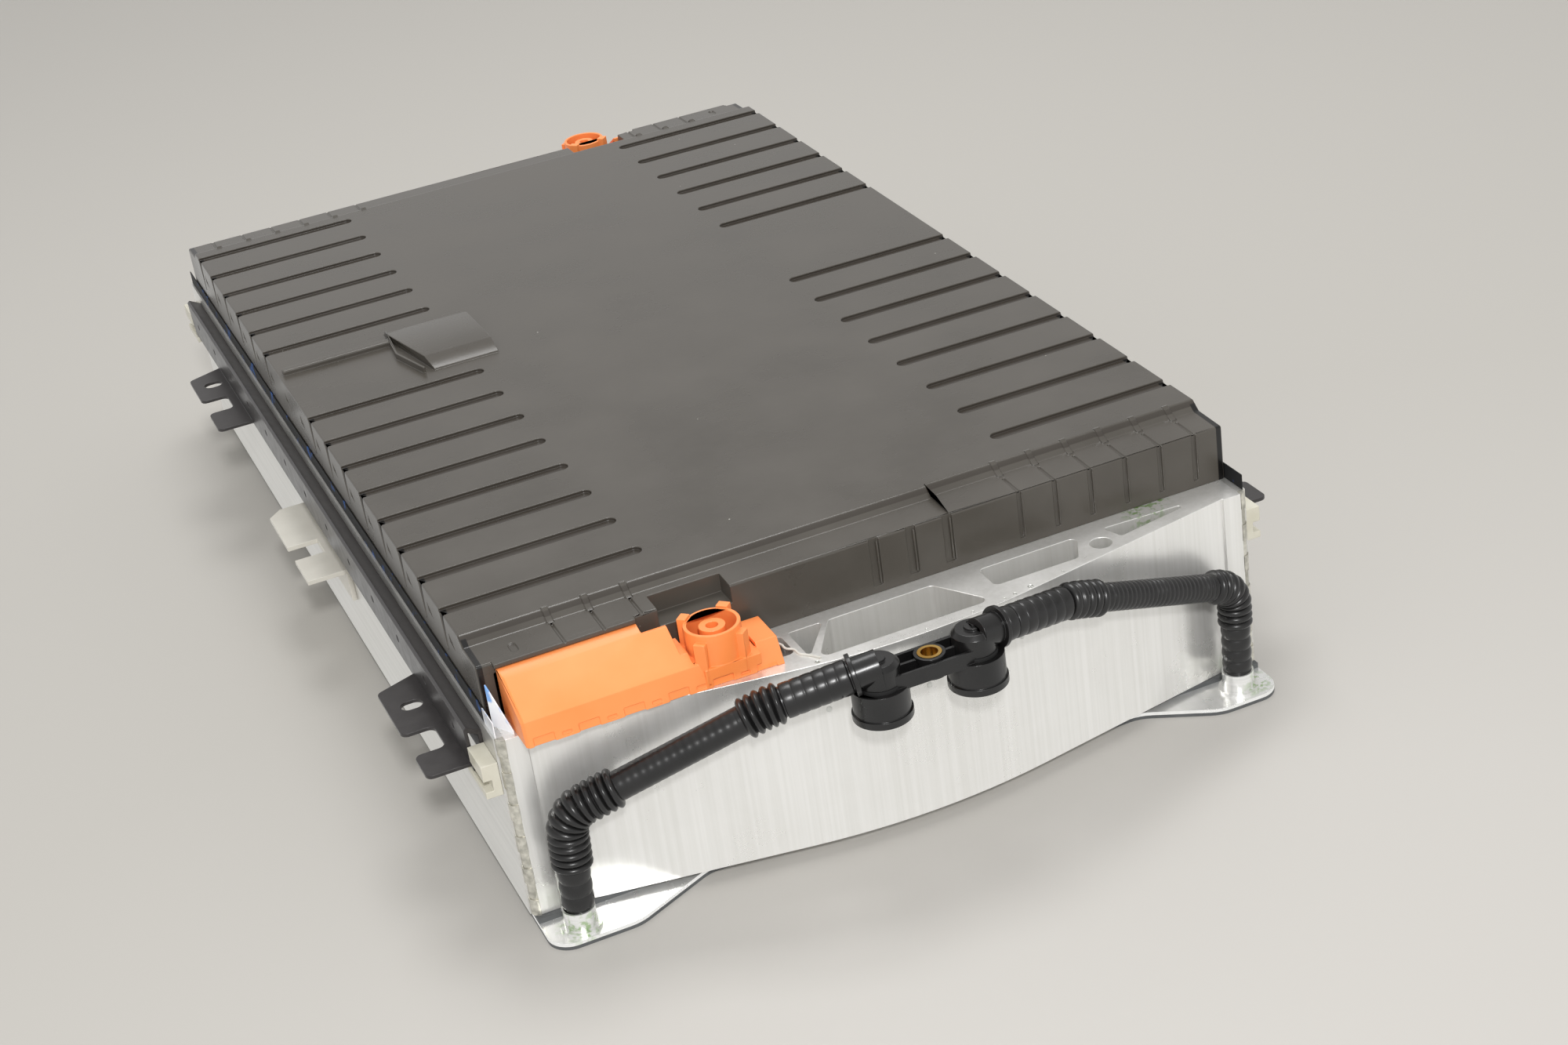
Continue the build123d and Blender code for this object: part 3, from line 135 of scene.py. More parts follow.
def cover_plastic():
    """Thermoformed ABS sheet: a soft gloss, a fine haze, dust specks and wipe marks, with painted shade in
    its grooves, darts and notches.
    """
    material, tree, shader = new_material("thermoformed_abs")
    place = add(tree, "ShaderNodeTexCoord", {}).outputs["Object"]
    haze = add(tree, "ShaderNodeTexNoise", {"Vector": place, "Scale": 14.0, "Detail": 5.0, "Roughness": 0.6})
    sheet = add(
        tree, "ShaderNodeValToRGB", {"Fac": haze.outputs["Fac"]}, ((0.3, "#45413b"), (0.7, "#504c46"))
    ).outputs["Color"]
    # painted shade: the grooves, which lie up to two millimetres below the top, are painted darker brown
    height = add(tree, "ShaderNodeSeparateXYZ", {"Vector": place}).outputs["Z"]
    rise = add(
        tree, "ShaderNodeMapRange", {"Value": height, "From Min": BELOW_GROOVES, "From Max": ABOVE_COVER}
    ).outputs["Result"]
    painted_groove_shade = add(
        tree, "ShaderNodeValToRGB", {"Fac": rise},
        ((0.0, "#000000"), (0.08, "#e0e0e0"), (0.62, "#c8c8c8"), (0.80, "#000000")),
    ).outputs["Color"]
    # the darts and notches of the sides lie one to three millimetres inside the skirt
    across = add(tree, "ShaderNodeSeparateXYZ", {"Vector": place}).outputs["X"]
    half = add(tree, "ShaderNodeMath", {0: across}, operation="ABSOLUTE").outputs[0]
    inset = add(
        tree, "ShaderNodeMapRange", {"Value": half, "From Min": INSIDE_NOTCHES, "From Max": OUTSIDE_SKIRT}
    ).outputs["Result"]
    sunk = add(
        tree, "ShaderNodeValToRGB", {"Fac": inset},
        ((0.0, "#000000"), (0.10, "#ffffff"), (0.72, "#ffffff"), (0.84, "#000000")),
    ).outputs["Color"]
    below = add(
        tree, "ShaderNodeValToRGB", {"Fac": rise}, ((0.20, "#ffffff"), (0.40, "#000000"))
    ).outputs["Color"]
    # painted shade: the darts and notches of the sides are painted near black
    painted_pit_shade = add(tree, "ShaderNodeMath", {0: sunk, 1: below}, operation="MULTIPLY").outputs[0]
    # painted shade: grooves and side pits together are painted darker brown
    painted_groove_and_pit_shade = add(tree, "ShaderNodeMath", {0: painted_groove_shade, 1: painted_pit_shade}, operation="MAXIMUM").outputs[0]
    groove_shaded = add(
        tree, "ShaderNodeMix", {"Factor": painted_groove_and_pit_shade, "A": sheet, "B": linear("#302a24")}, data_type="RGBA"
    ).outputs["Result"]
    base = add(
        tree, "ShaderNodeMix", {"Factor": painted_pit_shade, "A": groove_shaded, "B": linear("#0d0c0b")}, data_type="RGBA"
    ).outputs["Result"]
    # dust grains of about half a millimetre, one every two centimetres or so
    grains = add(tree, "ShaderNodeTexVoronoi", {"Vector": place, "Scale": 55.0})
    grain = add(
        tree, "ShaderNodeValToRGB", {"Fac": grains.outputs["Distance"]},
        ((0.018, "#ffffff"), (0.028, "#000000")),
    ).outputs["Color"]
    chosen = add(
        tree, "ShaderNodeValToRGB", {"Fac": grains.outputs["Color"]}, ((0.60, "#000000"), (0.62, "#ffffff"))
    ).outputs["Color"]
    dust = add(tree, "ShaderNodeMath", {0: grain, 1: chosen}, operation="MULTIPLY")
    colour = add(
        tree, "ShaderNodeMix",
        {"Factor": dust.outputs[0], "A": base, "B": linear("#b9b7ae")},
        data_type="RGBA",
    )
    tree.links.new(colour.outputs["Result"], shader.inputs["Base Color"])
    rough = add(
        tree, "ShaderNodeMapRange",
        {"Value": haze.outputs["Fac"], "From Min": 0.3, "From Max": 0.7, "To Min": 0.24, "To Max": 0.34},
    )
    tree.links.new(rough.outputs["Result"], shader.inputs["Roughness"])
    skin = add(tree, "ShaderNodeTexNoise", {"Vector": place, "Scale": 420.0, "Detail": 2.0})
    bump = add(tree, "ShaderNodeBump", {"Height": skin.outputs["Fac"], "Strength": 0.05, "Distance": 0.0004})
    tree.links.new(bump.outputs["Normal"], shader.inputs["Normal"])
    shader.inputs["IOR"].default_value = 1.5
    return material


# dried coolant: the middle and the reach of each smear, in metres
COOLANT_SPOTS = (
    ((0.160, -0.337, 0.114), 0.016),
    ((0.171, -0.334, 0.114), 0.009),
    ((-0.196, -0.372, 0.006), 0.016),
    ((0.203, -0.369, 0.007), 0.015),
    ((0.010, -0.357, 0.112), 0.010),
)


def stained(tree, place, base):
    """Base colour with thin green smears where coolant has dried."""
    specks = add(tree, "ShaderNodeTexNoise", {"Vector": place, "Scale": 330.0, "Detail": 4.0})
    patchy = add(
        tree, "ShaderNodeValToRGB", {"Fac": specks.outputs["Fac"]}, ((0.48, "#000000"), (0.60, "#ffffff"))
    ).outputs["Color"]
    mask = None
    for middle, reach in COOLANT_SPOTS:
        away = add(tree, "ShaderNodeVectorMath", {0: place, 1: middle}, operation="DISTANCE")
        near = add(
            tree, "ShaderNodeMapRange",
            {"Value": away.outputs["Value"], "From Min": reach, "From Max": 0.2 * reach},
        ).outputs["Result"]
        if mask is None:
            mask = near
        else:
            mask = add(tree, "ShaderNodeMath", {0: mask, 1: near}, operation="MAXIMUM").outputs[0]
    smear = add(tree, "ShaderNodeMath", {0: mask, 1: patchy}, operation="MULTIPLY")
    tinted = add(
        tree, "ShaderNodeMix",
        {"Factor": smear.outputs[0], "A": base, "B": linear("#86b05a")},
        data_type="RGBA",
    )
    return tinted.outputs["Result"]


def mill_aluminium(name, pale, dark, roughness, streak=(420.0, 420.0, 5.0), metallic=0.72):
    """Mill-finish aluminium: fine die lines along the extrusion and faint stains."""
    material, tree, shader = new_material(name)
    place = add(tree, "ShaderNodeTexCoord", {}).outputs["Object"]
    stretched = add(tree, "ShaderNodeMapping", {"Vector": place, "Scale": streak})
    lines = add(tree, "ShaderNodeTexNoise", {"Vector": stretched.outputs[0], "Scale": 1.0, "Detail": 4.0})
    stains = add(
        tree, "ShaderNodeTexNoise", {"Vector": place, "Scale": 22.0, "Detail": 6.0, "Roughness": 0.65}
    )
    tone = add(
        tree, "ShaderNodeMix",
        {"Factor": 0.35, "A": lines.outputs["Fac"], "B": stains.outputs["Fac"]},
    )
    base = add(
        tree, "ShaderNodeValToRGB", {"Fac": tone.outputs["Result"]}, ((0.38, dark), (0.62, pale))
    ).outputs["Color"]
    tree.links.new(stained(tree, place, base), shader.inputs["Base Color"])
    rough = add(
        tree, "ShaderNodeMapRange",
        {"Value": stains.outputs["Fac"], "From Min": 0.3, "From Max": 0.7,
         "To Min": roughness - 0.06, "To Max": roughness + 0.08},
    )
    tree.links.new(rough.outputs["Result"], shader.inputs["Roughness"])
    bump = add(tree, "ShaderNodeBump", {"Height": lines.outputs["Fac"], "Strength": 0.05, "Distance": 0.0003})
    tree.links.new(bump.outputs["Normal"], shader.inputs["Normal"])
    shader.inputs["Metallic"].default_value = metallic
    return material


def moulded(name, low, high, roughness, scale=60.0, grain=0.04):
    """Moulded plastic or rubber: a slight mottle and an even, fine-grained skin."""
    material, tree, shader = new_material(name)
    place = add(tree, "ShaderNodeTexCoord", {}).outputs["Object"]
    mottle = add(tree, "ShaderNodeTexNoise", {"Vector": place, "Scale": scale, "Detail": 4.0})
    colour = add(tree, "ShaderNodeValToRGB", {"Fac": mottle.outputs["Fac"]}, ((0.3, low), (0.7, high)))
    tree.links.new(colour.outputs["Color"], shader.inputs["Base Color"])
    rough = add(
        tree, "ShaderNodeMapRange",
        {"Value": mottle.outputs["Fac"], "From Min": 0.3, "From Max": 0.7,
         "To Min": roughness - 0.04, "To Max": roughness + 0.05},
    )
    tree.links.new(rough.outputs["Result"], shader.inputs["Roughness"])
    skin = add(tree, "ShaderNodeTexNoise", {"Vector": place, "Scale": 900.0, "Detail": 2.0})
    bump = add(tree, "ShaderNodeBump", {"Height": skin.outputs["Fac"], "Strength": grain, "Distance": 0.0003})
    tree.links.new(bump.outputs["Normal"], shader.inputs["Normal"])
    return material


def metal(name, low, high, roughness):
    """Bare metal with a slightly uneven tone."""
    material, tree, shader = new_material(name)
    place = add(tree, "ShaderNodeTexCoord", {}).outputs["Object"]
    tone = add(tree, "ShaderNodeTexNoise", {"Vector": place, "Scale": 80.0, "Detail": 5.0})
    colour = add(tree, "ShaderNodeValToRGB", {"Fac": tone.outputs["Fac"]}, ((0.3, low), (0.7, high)))
    tree.links.new(colour.outputs["Color"], shader.inputs["Base Color"])
    shader.inputs["Metallic"].default_value = 1.0
    shader.inputs["Roughness"].default_value = roughness
    return material


# x times y in square metres: just short of the film's two flaps, and at them
FLAP_SHORT, FLAP_START = 0.0717, 0.0719


def insulating_film():
    """Polyester film: the strip is painted near black for the shade of its gap, with painted blue glints; the
    flap in front, pale blue with a painted white sheen along its folds, mirrors the light.
    """
    material, tree, shader = new_material("polyester_film")
    place = add(tree, "ShaderNodeTexCoord", {}).outputs["Object"]
    # the two flaps stand at opposite corners, where x times y is largest
    along = add(tree, "ShaderNodeSeparateXYZ", {"Vector": place})
    corner = add(tree, "ShaderNodeMath", {0: along.outputs["X"], 1: along.outputs["Y"]}, operation="MULTIPLY")
    flap = add(
        tree, "ShaderNodeMapRange",
        {"Value": corner.outputs[0], "From Min": FLAP_SHORT, "From Max": FLAP_START},
    )
    folds = add(tree, "ShaderNodeTexNoise", {"Vector": place, "Scale": 90.0, "Detail": 2.0})
    # painted sheen: the flap is pale blue film with painted white sheen in patches along its folds
    pale = add(
        tree, "ShaderNodeValToRGB", {"Fac": folds.outputs["Fac"]}, ((0.36, "#7fb0ee"), (0.46, "#f6f9fd"))
    ).outputs["Color"]
    # painted shade and painted highlight: the strip is painted near black, with painted blue glints
    strip_shade_and_glints = add(
        tree, "ShaderNodeValToRGB", {"Fac": folds.outputs["Fac"]}, ((0.62, "#0b0c0e"), (0.72, "#24508f"))
    ).outputs["Color"]
    colour = add(
        tree, "ShaderNodeMix", {"Factor": flap.outputs["Result"], "A": strip_shade_and_glints, "B": pale}, data_type="RGBA"
    )
    tree.links.new(colour.outputs["Result"], shader.inputs["Base Color"])
    dull = add(
        tree, "ShaderNodeMapRange", {"Value": flap.outputs["Result"], "To Min": 0.8, "To Max": 0.18}
    )
    tree.links.new(dull.outputs["Result"], shader.inputs["Roughness"])
    bump = add(tree, "ShaderNodeBump", {"Height": folds.outputs["Fac"], "Strength": 0.3, "Distance": 0.001})
    tree.links.new(bump.outputs["Normal"], shader.inputs["Normal"])
    return material


def clear_water():
    """Water: clear, and bright only where it mirrors the lamp."""
    material, tree, shader = new_material("water")
    place = add(tree, "ShaderNodeTexCoord", {}).outputs["Object"]
    ripple = add(tree, "ShaderNodeTexNoise", {"Vector": place, "Scale": 600.0})
    bump = add(
        tree, "ShaderNodeBump", {"Height": ripple.outputs["Fac"], "Strength": 0.05, "Distance": 0.0003}
    )
    tree.links.new(bump.outputs["Normal"], shader.inputs["Normal"])
    shader.inputs["Base Color"].default_value = linear("#f4f6f4")
    shader.inputs["Roughness"].default_value = 0.03
    shader.inputs["Transmission Weight"].default_value = 1.0
    shader.inputs["IOR"].default_value = 1.33
    return material


water = clear_water()
finishes = {
    "cover_plastic": cover_plastic(),
    "extruded_aluminium": mill_aluminium("mill_finish_extrusion", "#edece9", "#e4e3df", 0.30, metallic=0.62),
    "sheet_aluminium": mill_aluminium("rolled_side_sheet", "#d5d4d0", "#cccbc7", 0.36, (5.0, 5.0, 300.0)),
    "weld_metal": mill_aluminium("weld_bead_aluminium", "#d8d5ca", "#a3a197", 0.40, (260.0, 260.0, 260.0)),
    "cold_plate_aluminium": mill_aluminium(
        "rolled_cold_plate", "#fbfbfa", "#f1f1ef", 0.24, (200.0, 6.0, 6.0)
    ),
    "gap_filler_grey": moulded("thermal_filler", "#4c4e4f", "#5c5e5f", 0.6),
    "spigot_aluminium": mill_aluminium("turned_aluminium", "#f4f4f2", "#e4e4e2", 0.22, (40.0, 40.0, 900.0)),
    "hose_black": moulded("corrugated_polyamide", "#141414", "#1c1b1b", 0.30),
    "manifold_black": moulded("glass_filled_polyamide", "#131313", "#1b1a1a", 0.27),
    "sleeve_brass": metal("turned_brass", "#b98f45", "#d8b469", 0.25),
    "seal_rubber": moulded("epdm_seal", "#161616", "#1d1d1d", 0.6),
    "clip_steel": metal("spring_steel", "#8d8d8d", "#a5a5a5", 0.3),
    "orange_plastic": moulded("orange_pbt", "#fb8f4a", "#ff9a58", 0.40, 25.0),
    "copper": metal("bare_copper", "#b87048", "#d08a62", 0.28),
    "coated_steel": moulded("electro_coated_steel", "#2b2828", "#343131", 0.36, 120.0, 0.08),
    "bare_bracket": moulded("zinc_flake_coat", "#cbc7bd", "#d8d5cb", 0.42, 30.0, 0.06),
    "ivory_plastic": moulded("natural_polyamide", "#c9c5b4", "#d6d3c6", 0.45),
    "blue_film": insulating_film(),
    "pouch_foil": metal("pouch_foil", "#b5b7bb", "#cbcdd0", 0.3),
    "foam": moulded("compression_foam", "#26262a", "#303033", 0.8),
    "insulator_board": moulded("insulator_sheet", "#c9c8c0", "#d6d5ce", 0.5),
    "carrier_plastic": moulded("carrier_moulding", "#232324", "#2c2c2e", 0.45),
    "board_green": moulded("circuit_board", "#16402a", "#1d4c33", 0.4),
}
slot_of = {entry["node"]: entry["material_slot"] for entry in frame["record"]["subparts"]}


def paint(piece, slot):
    """Give a piece the finish of a material slot."""
    piece.data.materials.clear()
    piece.data.materials.append(finishes[slot])


for name, obj in frame["nodes"].items():
    paint(obj, slot_of[name])
# painted shade: the lower sheet takes the dark grey filler finish, which shows as a thin dark line along the
# foot
paint(frame["nodes"]["cold_plate_lower"], "gap_filler_grey")


# --------------------------------------------------------- dressed nodes
# where the front corner plane and the underside of the end plates lie, in millimetres
FRONT_CORNER_Y = -354.55
END_PLATE_FOOT_Z = 7.0


def at(x, y, z):
    """Point in metres, given in millimetres from the module's middle, front corner plane and plate foot."""
    return Vector((x, y + FRONT_CORNER_Y, z + END_PLATE_FOOT_Z)) * mm


def only(obj):
    """Select one object and make it active."""
    bpy.ops.object.select_all(action="DESELECT")
    obj.select_set(True)
    bpy.context.view_layer.objects.active = obj


def flatten_normals(piece, angle):
    """Smooth shading in which the large faces stay flat."""
    only(piece)
    bpy.ops.object.shade_smooth_by_angle(angle=radians(angle))
    weighted = piece.modifiers.new("flats", "WEIGHTED_NORMAL")
    weighted.keep_sharp = True
    weighted.weight = 80
    bpy.ops.object.modifier_apply(modifier="flats")


def dressed(node, width):
    """Copy of a CAD node with its flats joined and its edges rounded to a width."""
    mesh = frame["nodes"][node].data.copy()
    piece = bpy.data.objects.new(node + "_skin", mesh)
    bpy.context.scene.collection.objects.link(piece)
    only(piece)
    bpy.ops.object.mode_set(mode="EDIT")
    bpy.ops.mesh.select_all(action="SELECT")
    bpy.ops.mesh.remove_doubles(threshold=2e-6)
    bpy.ops.mesh.dissolve_limited(angle_limit=radians(0.6))
    bpy.ops.object.mode_set(mode="OBJECT")
    bevel = piece.modifiers.new("edge", "BEVEL")
    bevel.width = width
    bevel.segments = 2
    bevel.limit_method = "ANGLE"
    bevel.angle_limit = radians(28.0)
    bevel.use_clamp_overlap = False
    bevel.miter_outer = "MITER_ARC"
    bpy.ops.object.modifier_apply(modifier="edge")
    flatten_normals(piece, 40)
    paint(piece, slot_of[node])
    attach(piece, "root")
    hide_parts(node)


dressed("top_cover", 0.5 * mm)
for end in ("front", "rear"):
    dressed(end + "_end_plate", 0.35 * mm)
    dressed(end + "_hv_housing", 0.4 * mm)
for side in ("left", "right"):
    dressed(side + "_rail", 0.3 * mm)
    dressed(side + "_mid_bracket", 0.3 * mm)
    dressed(side + "_front_pad", 0.4 * mm)
    dressed(side + "_rear_pad", 0.4 * mm)
dressed("coolant_manifold", 0.3 * mm)


# ------------------------------------------------------------ small work
# the drawn lines stand beside the skirts' grooves, in millimetres: the grooves' pitch, the first groove of
# the close and of the wide group, and how far a line is from the middle of its groove
GROOVE_PITCH = 21.4
CLOSE_GROOVE_X, WIDE_GROOVE_X = 197.1, 47.3
BEAD_SHIFT = 1.6
BEAD_RADIUS = 0.55
BEAD_FOOT, BEAD_TOP = 112.2, 137.2
FRONT_SKIRT_Y, REAR_SKIRT_Y = 21.15, 722.85


def add_bead(name, foot, top):
    """Thin raised line of the cover with rounded ends, a little proud of the wall behind it."""
    bpy.ops.object.select_all(action="DESELECT")
    middle = (foot + top) / 2
    axis = top - foot
    bpy.ops.mesh.primitive_cylinder_add(
        vertices=12, radius=BEAD_RADIUS * mm, depth=axis.length, location=middle,
        rotation=axis.to_track_quat("Z", "Y").to_euler(),
    )
    bead = bpy.context.object
    bead.name = name
    bpy.ops.object.transform_apply(location=True, rotation=True, scale=True)
    rounded = bead.modifiers.new("round", "BEVEL")
    rounded.width = 0.7 * BEAD_RADIUS * mm
    rounded.segments = 2
    rounded.limit_method = "ANGLE"
    rounded.angle_limit = radians(60)
    bpy.ops.object.modifier_apply(modifier="round")
    bpy.ops.object.shade_smooth_by_angle(angle=radians(50))
    paint(bead, "cover_plastic")
    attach(bead, "root")


def add_skirt_beads():
    """Drawn lines that stand up between the bays of the front and rear skirts."""
    close = [CLOSE_GROOVE_X - GROOVE_PITCH * n for n in range(6)]
    wide = [WIDE_GROOVE_X - GROOVE_PITCH * n for n in range(3)]
    for n, groove_x in enumerate(close + wide):
        x = groove_x + BEAD_SHIFT
        add_bead("front_skirt_bead_%d" % n, at(x, FRONT_SKIRT_Y, BEAD_FOOT), at(x, FRONT_SKIRT_Y, BEAD_TOP))
        add_bead("rear_skirt_bead_%d" % n, at(-x, REAR_SKIRT_Y, BEAD_FOOT), at(-x, REAR_SKIRT_Y, BEAD_TOP))


def add_string(name, knots, radius, slot):
    """Soft round bead laid along knots on the end plate."""
    curve = bpy.data.curves.new(name, "CURVE")
    curve.dimensions = "3D"
    curve.bevel_depth = radius
    curve.bevel_resolution = 3
    curve.use_fill_caps = True
    spline = curve.splines.new("NURBS")
    spline.points.add(len(knots) - 1)
    for knot, place in zip(spline.points, knots):
        knot.co = (*place, 1.0)
    spline.order_u = 3
    spline.use_endpoint_u = True
    string = bpy.data.objects.new(name, curve)
    bpy.context.scene.collection.objects.link(string)
    only(string)
    bpy.ops.object.convert(target="MESH")
    string = bpy.context.object
    bpy.ops.object.shade_smooth_by_angle(angle=radians(60))
    paint(string, slot)
    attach(string, "root")


# bow of the front end plate, in millimetres: its nose is an arc, and its flanks run straight from there
NOSE_CENTRE_Y = 339.6
NOSE_RADIUS = 370.0
NOSE_HALF_WIDTH = 67.0
FLANK_END_X, FLANK_END_Y = 201.0, 1.2
END_PLATE_HEIGHT = 107.0


def bow_y(x):
    """Bowed front face of the end plate: curved nose, then straight flanks."""
    if abs(x) < NOSE_HALF_WIDTH:
        return NOSE_CENTRE_Y - sqrt(NOSE_RADIUS**2 - x**2)
    edge = NOSE_CENTRE_Y - sqrt(NOSE_RADIUS**2 - NOSE_HALF_WIDTH**2)
    share = (abs(x) - NOSE_HALF_WIDTH) / (FLANK_END_X - NOSE_HALF_WIDTH)
    return edge + share * (FLANK_END_Y - edge)


# drops, in millimetres: the stretch that is wet, their radii, their heights on the face, and how far
# those on the upper edge lie behind it
WET_X = (-60.0, 150.0)
DROP_RADIUS = (0.7, 1.7)
WET_Z = (70.0, 103.0)
EDGE_SETBACK = 2.6


def add_drops():
    """Drops of water on the front face and the upper edge of the front end plate."""
    chance = Random(7)
    for n in range(26):
        x = chance.uniform(*WET_X)
        bow = bow_y(x)
        on_top = n % 3 == 0
        reach = chance.uniform(*DROP_RADIUS)
        z = END_PLATE_HEIGHT if on_top else chance.uniform(*WET_Z)
        y = bow + EDGE_SETBACK if on_top else bow
        bpy.ops.object.select_all(action="DESELECT")
        bpy.ops.mesh.primitive_ico_sphere_add(
            subdivisions=3, radius=reach * mm, location=at(x, y, z)
        )
        drop = bpy.context.object
        drop.name = "water_drop_%02d" % n
        drop.scale = (1.0, 1.0, 0.45) if on_top else (1.0, 0.45, 1.15)
        bpy.ops.object.transform_apply(location=True, rotation=True, scale=True)
        bpy.ops.object.shade_smooth()
        drop.data.materials.append(water)
        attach(drop, "root")


# the thread of sealant squeezed out beside the connector, in millimetres
SEALANT_KNOTS = ((-64, 7), (-60, 3), (-61, -3), (-56.5, -6), (-57, -12), (-52.5, -16), (-49, -22))
SEALANT_Z = 107.4
SEALANT_RADIUS = 0.7

add_skirt_beads()
add_drops()
add_string(
    "sealant_thread", [at(x, y, SEALANT_Z) for x, y in SEALANT_KNOTS], SEALANT_RADIUS * mm, "insulator_board"
)


# ----------------------------------------------------------------- hoses
# pieces in each bend's arc, and the step in millimetres between rings, fine enough for the convolutions
ARC_PIECES = 24
RING_STEP = 0.35


def bent_line(corners, radii, step):
    """Points at an even step along straight runs joined by tangent arcs."""
    line = [corners[0]]
    for before, corner, after, radius in zip(corners, corners[1:], corners[2:], radii):
        arrive = (corner - before).normalized()
        leave = (after - corner).normalized()
        turn = arrive.angle(leave)
        reach = radius * sin(turn / 2) / cos(turn / 2)
        centre = corner + (leave - arrive).normalized() * radius / cos(turn / 2)
        axis = arrive.cross(leave).normalized()
        first = corner - arrive * reach - centre
        for n in range(ARC_PIECES + 1):
            line.append(centre + Matrix.Rotation(turn * n / ARC_PIECES, 3, axis) @ first)
    line.append(corners[-1])
    lengths = [0.0]
    for p, q in zip(line, line[1:]):
        lengths.append(lengths[-1] + (q - p).length)
    points = []
    for n in range(int(lengths[-1] / step) + 1):
        along = n * step
        i = max(j for j in range(len(line) - 1) if lengths[j] <= along)
        share = (along - lengths[i]) / max(lengths[i + 1] - lengths[i], 1e-9)
        points.append(line[i].lerp(line[i + 1], share))
    return points


def hose_radius_at(along, total, plain, runs):
    """Radius in mm at a length along the pipe.

    Each run has a start, end, pitch, crest, root and fullness of its crests. A negative start or end
    counts back from the far end. Between runs the pipe is plain.
    """
    for start, end, pitch, crest, root, fullness in runs:
        start = start if start >= 0 else total + start
        end = end if end >= 0 else total + end
        if start <= along < end:
            count = max(1, round((end - start) / pitch))
            phase = (along - start) / (end - start) * count
            return root + (crest - root) * abs(sin(pi * phase)) ** fullness
    return plain


def add_hose(name, corners, radii, plain, runs, node):
    """Corrugated pipe along its corners and bend radii in mm, in place of the hose's solid."""
    points = bent_line([at(*corner) / mm for corner in corners], radii, RING_STEP)
    total = RING_STEP * (len(points) - 1)
    curve = bpy.data.curves.new(name, "CURVE")
    curve.dimensions = "3D"
    curve.bevel_depth = mm
    curve.bevel_resolution = 10
    curve.use_fill_caps = True
    spline = curve.splines.new("POLY")
    spline.points.add(len(points) - 1)
    for n, (knot, point) in enumerate(zip(spline.points, points)):
        knot.co = (*(point * mm), 1.0)
        knot.radius = hose_radius_at(n * RING_STEP, total, plain, runs)
    hose = bpy.data.objects.new(name, curve)
    bpy.context.scene.collection.objects.link(hose)
    only(hose)
    bpy.ops.object.convert(target="MESH")
    hose = bpy.context.object
    bpy.ops.object.shade_smooth_by_angle(angle=radians(60))
    paint(hose, "hose_black")
    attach(hose, "root")
    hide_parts(node)


add_hose(
    "left_corrugated_hose",
    ((-196.0, -15.6, 1.0), (-193.3, -16.4, 65.0), (-88.0, -39.6, 100.9), (-44.5, -49.4, 109.0)),
    (16.0, 60.0), 8.0,
    (
        (0.0, 9.0, 9.0, 7.6, 7.6, 1.0),
        (9.0, 33.0, 8.0, 8.7, 7.7, 0.45),
        (33.0, 91.0, 4.1, 10.9, 8.5, 0.55),
        (91.0, -60.0, 4.3, 8.04, 7.96, 2.0),
        (-58.0, -37.0, 4.2, 11.0, 8.6, 0.7),
        (-36.0, -1.0, 5.8, 9.3, 8.7, 0.22),
    ),
    "left_coolant_hose",
)
add_hose(
    "right_corrugated_hose",
    ((195.0, -14.6, 1.0), (195.7, -14.4, 61.9), (84.0, -39.6, 103.2), (38.5, -49.4, 108.6)),
    (16.0, 60.0), 7.3,
    (
        (0.0, 9.0, 9.0, 7.6, 7.6, 1.0),
        (9.0, 37.0, 7.0, 8.2, 7.1, 0.45),
        (37.0, 75.0, 4.2, 9.6, 7.6, 0.55),
        (75.0, -70.0, 3.1, 7.8, 7.2, 0.7),
        (-68.0, -44.0, 4.6, 10.1, 8.2, 0.6),
        (-43.0, -1.0, 6.0, 9.2, 8.3, 0.25),
    ),
    "right_coolant_hose",
)


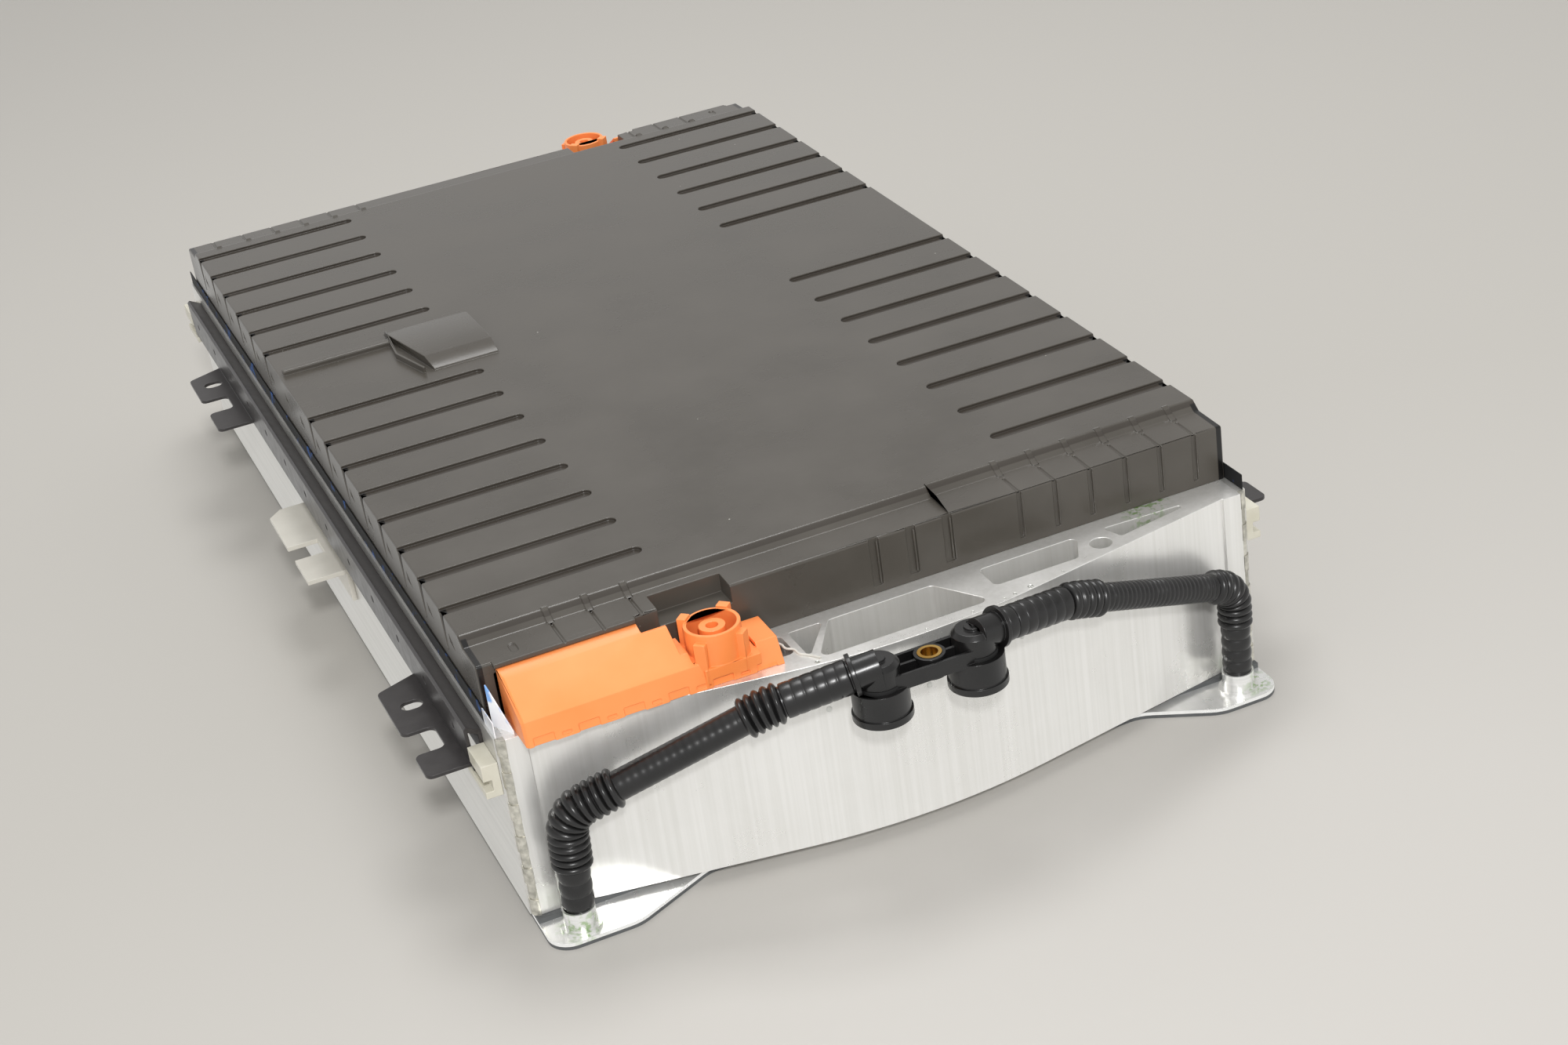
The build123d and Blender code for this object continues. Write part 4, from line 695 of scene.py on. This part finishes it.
# ----------------------------------------------------------------- stage
def add_floor():
    """Pale table top with a painted pool of light in front of the object, and bright where metal mirrors it.
    """
    bpy.ops.mesh.primitive_plane_add(size=12.0, location=(0, 0, cad_low.z))
    floor = bpy.context.object
    floor.name = "table_top"
    material, tree, shader = new_material("laminate_table")
    place = add(tree, "ShaderNodeTexCoord", {}).outputs["Object"]
    # painted light: the table is painted a little lighter in a pool centred in front of the object
    painted_pool_centre = add(
        tree, "ShaderNodeMapping", {"Vector": place, "Location": (-0.10, 0.78, 0.0), "Scale": (1.0, 1.3, 1.0)}
    )
    near = add(tree, "ShaderNodeTexGradient", {"Vector": painted_pool_centre.outputs[0]}, gradient_type="SPHERICAL")
    tone = add(
        tree, "ShaderNodeValToRGB", {"Fac": near.outputs["Fac"]}, ((0.20, "#b9b6b0"), (0.80, "#c0bdb8"))
    )
    tree.links.new(tone.outputs["Color"], shader.inputs["Base Color"])
    shader.inputs["Roughness"].default_value = 0.5
    mirrored = add(tree, "ShaderNodeLightPath", {}).outputs["Is Glossy Ray"]
    glow = add(tree, "ShaderNodeEmission", {"Color": linear("#f4f3f0"), "Strength": 0.95})
    mix = add(tree, "ShaderNodeMixShader", {0: mirrored, 1: shader.outputs[0], 2: glow.outputs[0]})
    output = next(n for n in tree.nodes if n.type == "OUTPUT_MATERIAL")
    tree.links.new(mix.outputs[0], output.inputs[0])
    floor.data.materials.append(material)


def add_area(name, place, aim, size, power):
    """Square soft white light at a place, turned towards a point."""
    turned = (Vector(aim) - Vector(place)).to_track_quat("-Z", "Y").to_euler()
    bpy.ops.object.light_add(type="AREA", location=place, rotation=turned)
    lamp = bpy.context.object
    lamp.name = name
    lamp.data.size = size
    lamp.data.energy = power


def add_world():
    """White surroundings: pale walls at the horizon, a dimmer band above them, a bright ceiling."""
    world = bpy.data.worlds.new("studio")
    bpy.context.scene.world = world
    world.use_nodes = True
    tree = world.node_tree
    direction = add(tree, "ShaderNodeTexCoord", {}).outputs["Generated"]
    rise = add(tree, "ShaderNodeSeparateXYZ", {"Vector": direction}).outputs["Z"]
    sky = add(
        tree, "ShaderNodeValToRGB", {"Fac": rise},
        ((0.0, "#ffffff"), (0.34, "#f4f3f2"), (0.58, "#c9c8c6"), (0.78, "#dddcda"), (1.0, "#ffffff")),
    ).outputs["Color"]
    background = tree.nodes["Background"]
    tree.links.new(sky, background.inputs["Color"])
    background.inputs["Strength"].default_value = 0.9


add_floor()
add_world()
add_area("key_light", place=(-0.55, -2.2, 1.65), aim=(0, -0.1, 0.05), size=0.2, power=34.0)
add_area("ceiling_bounce", place=(0.22, 0.5, 1.9), aim=(0, 0, 0.1), size=0.8, power=14.0)
bpy.context.scene.view_settings.view_transform = "Standard"
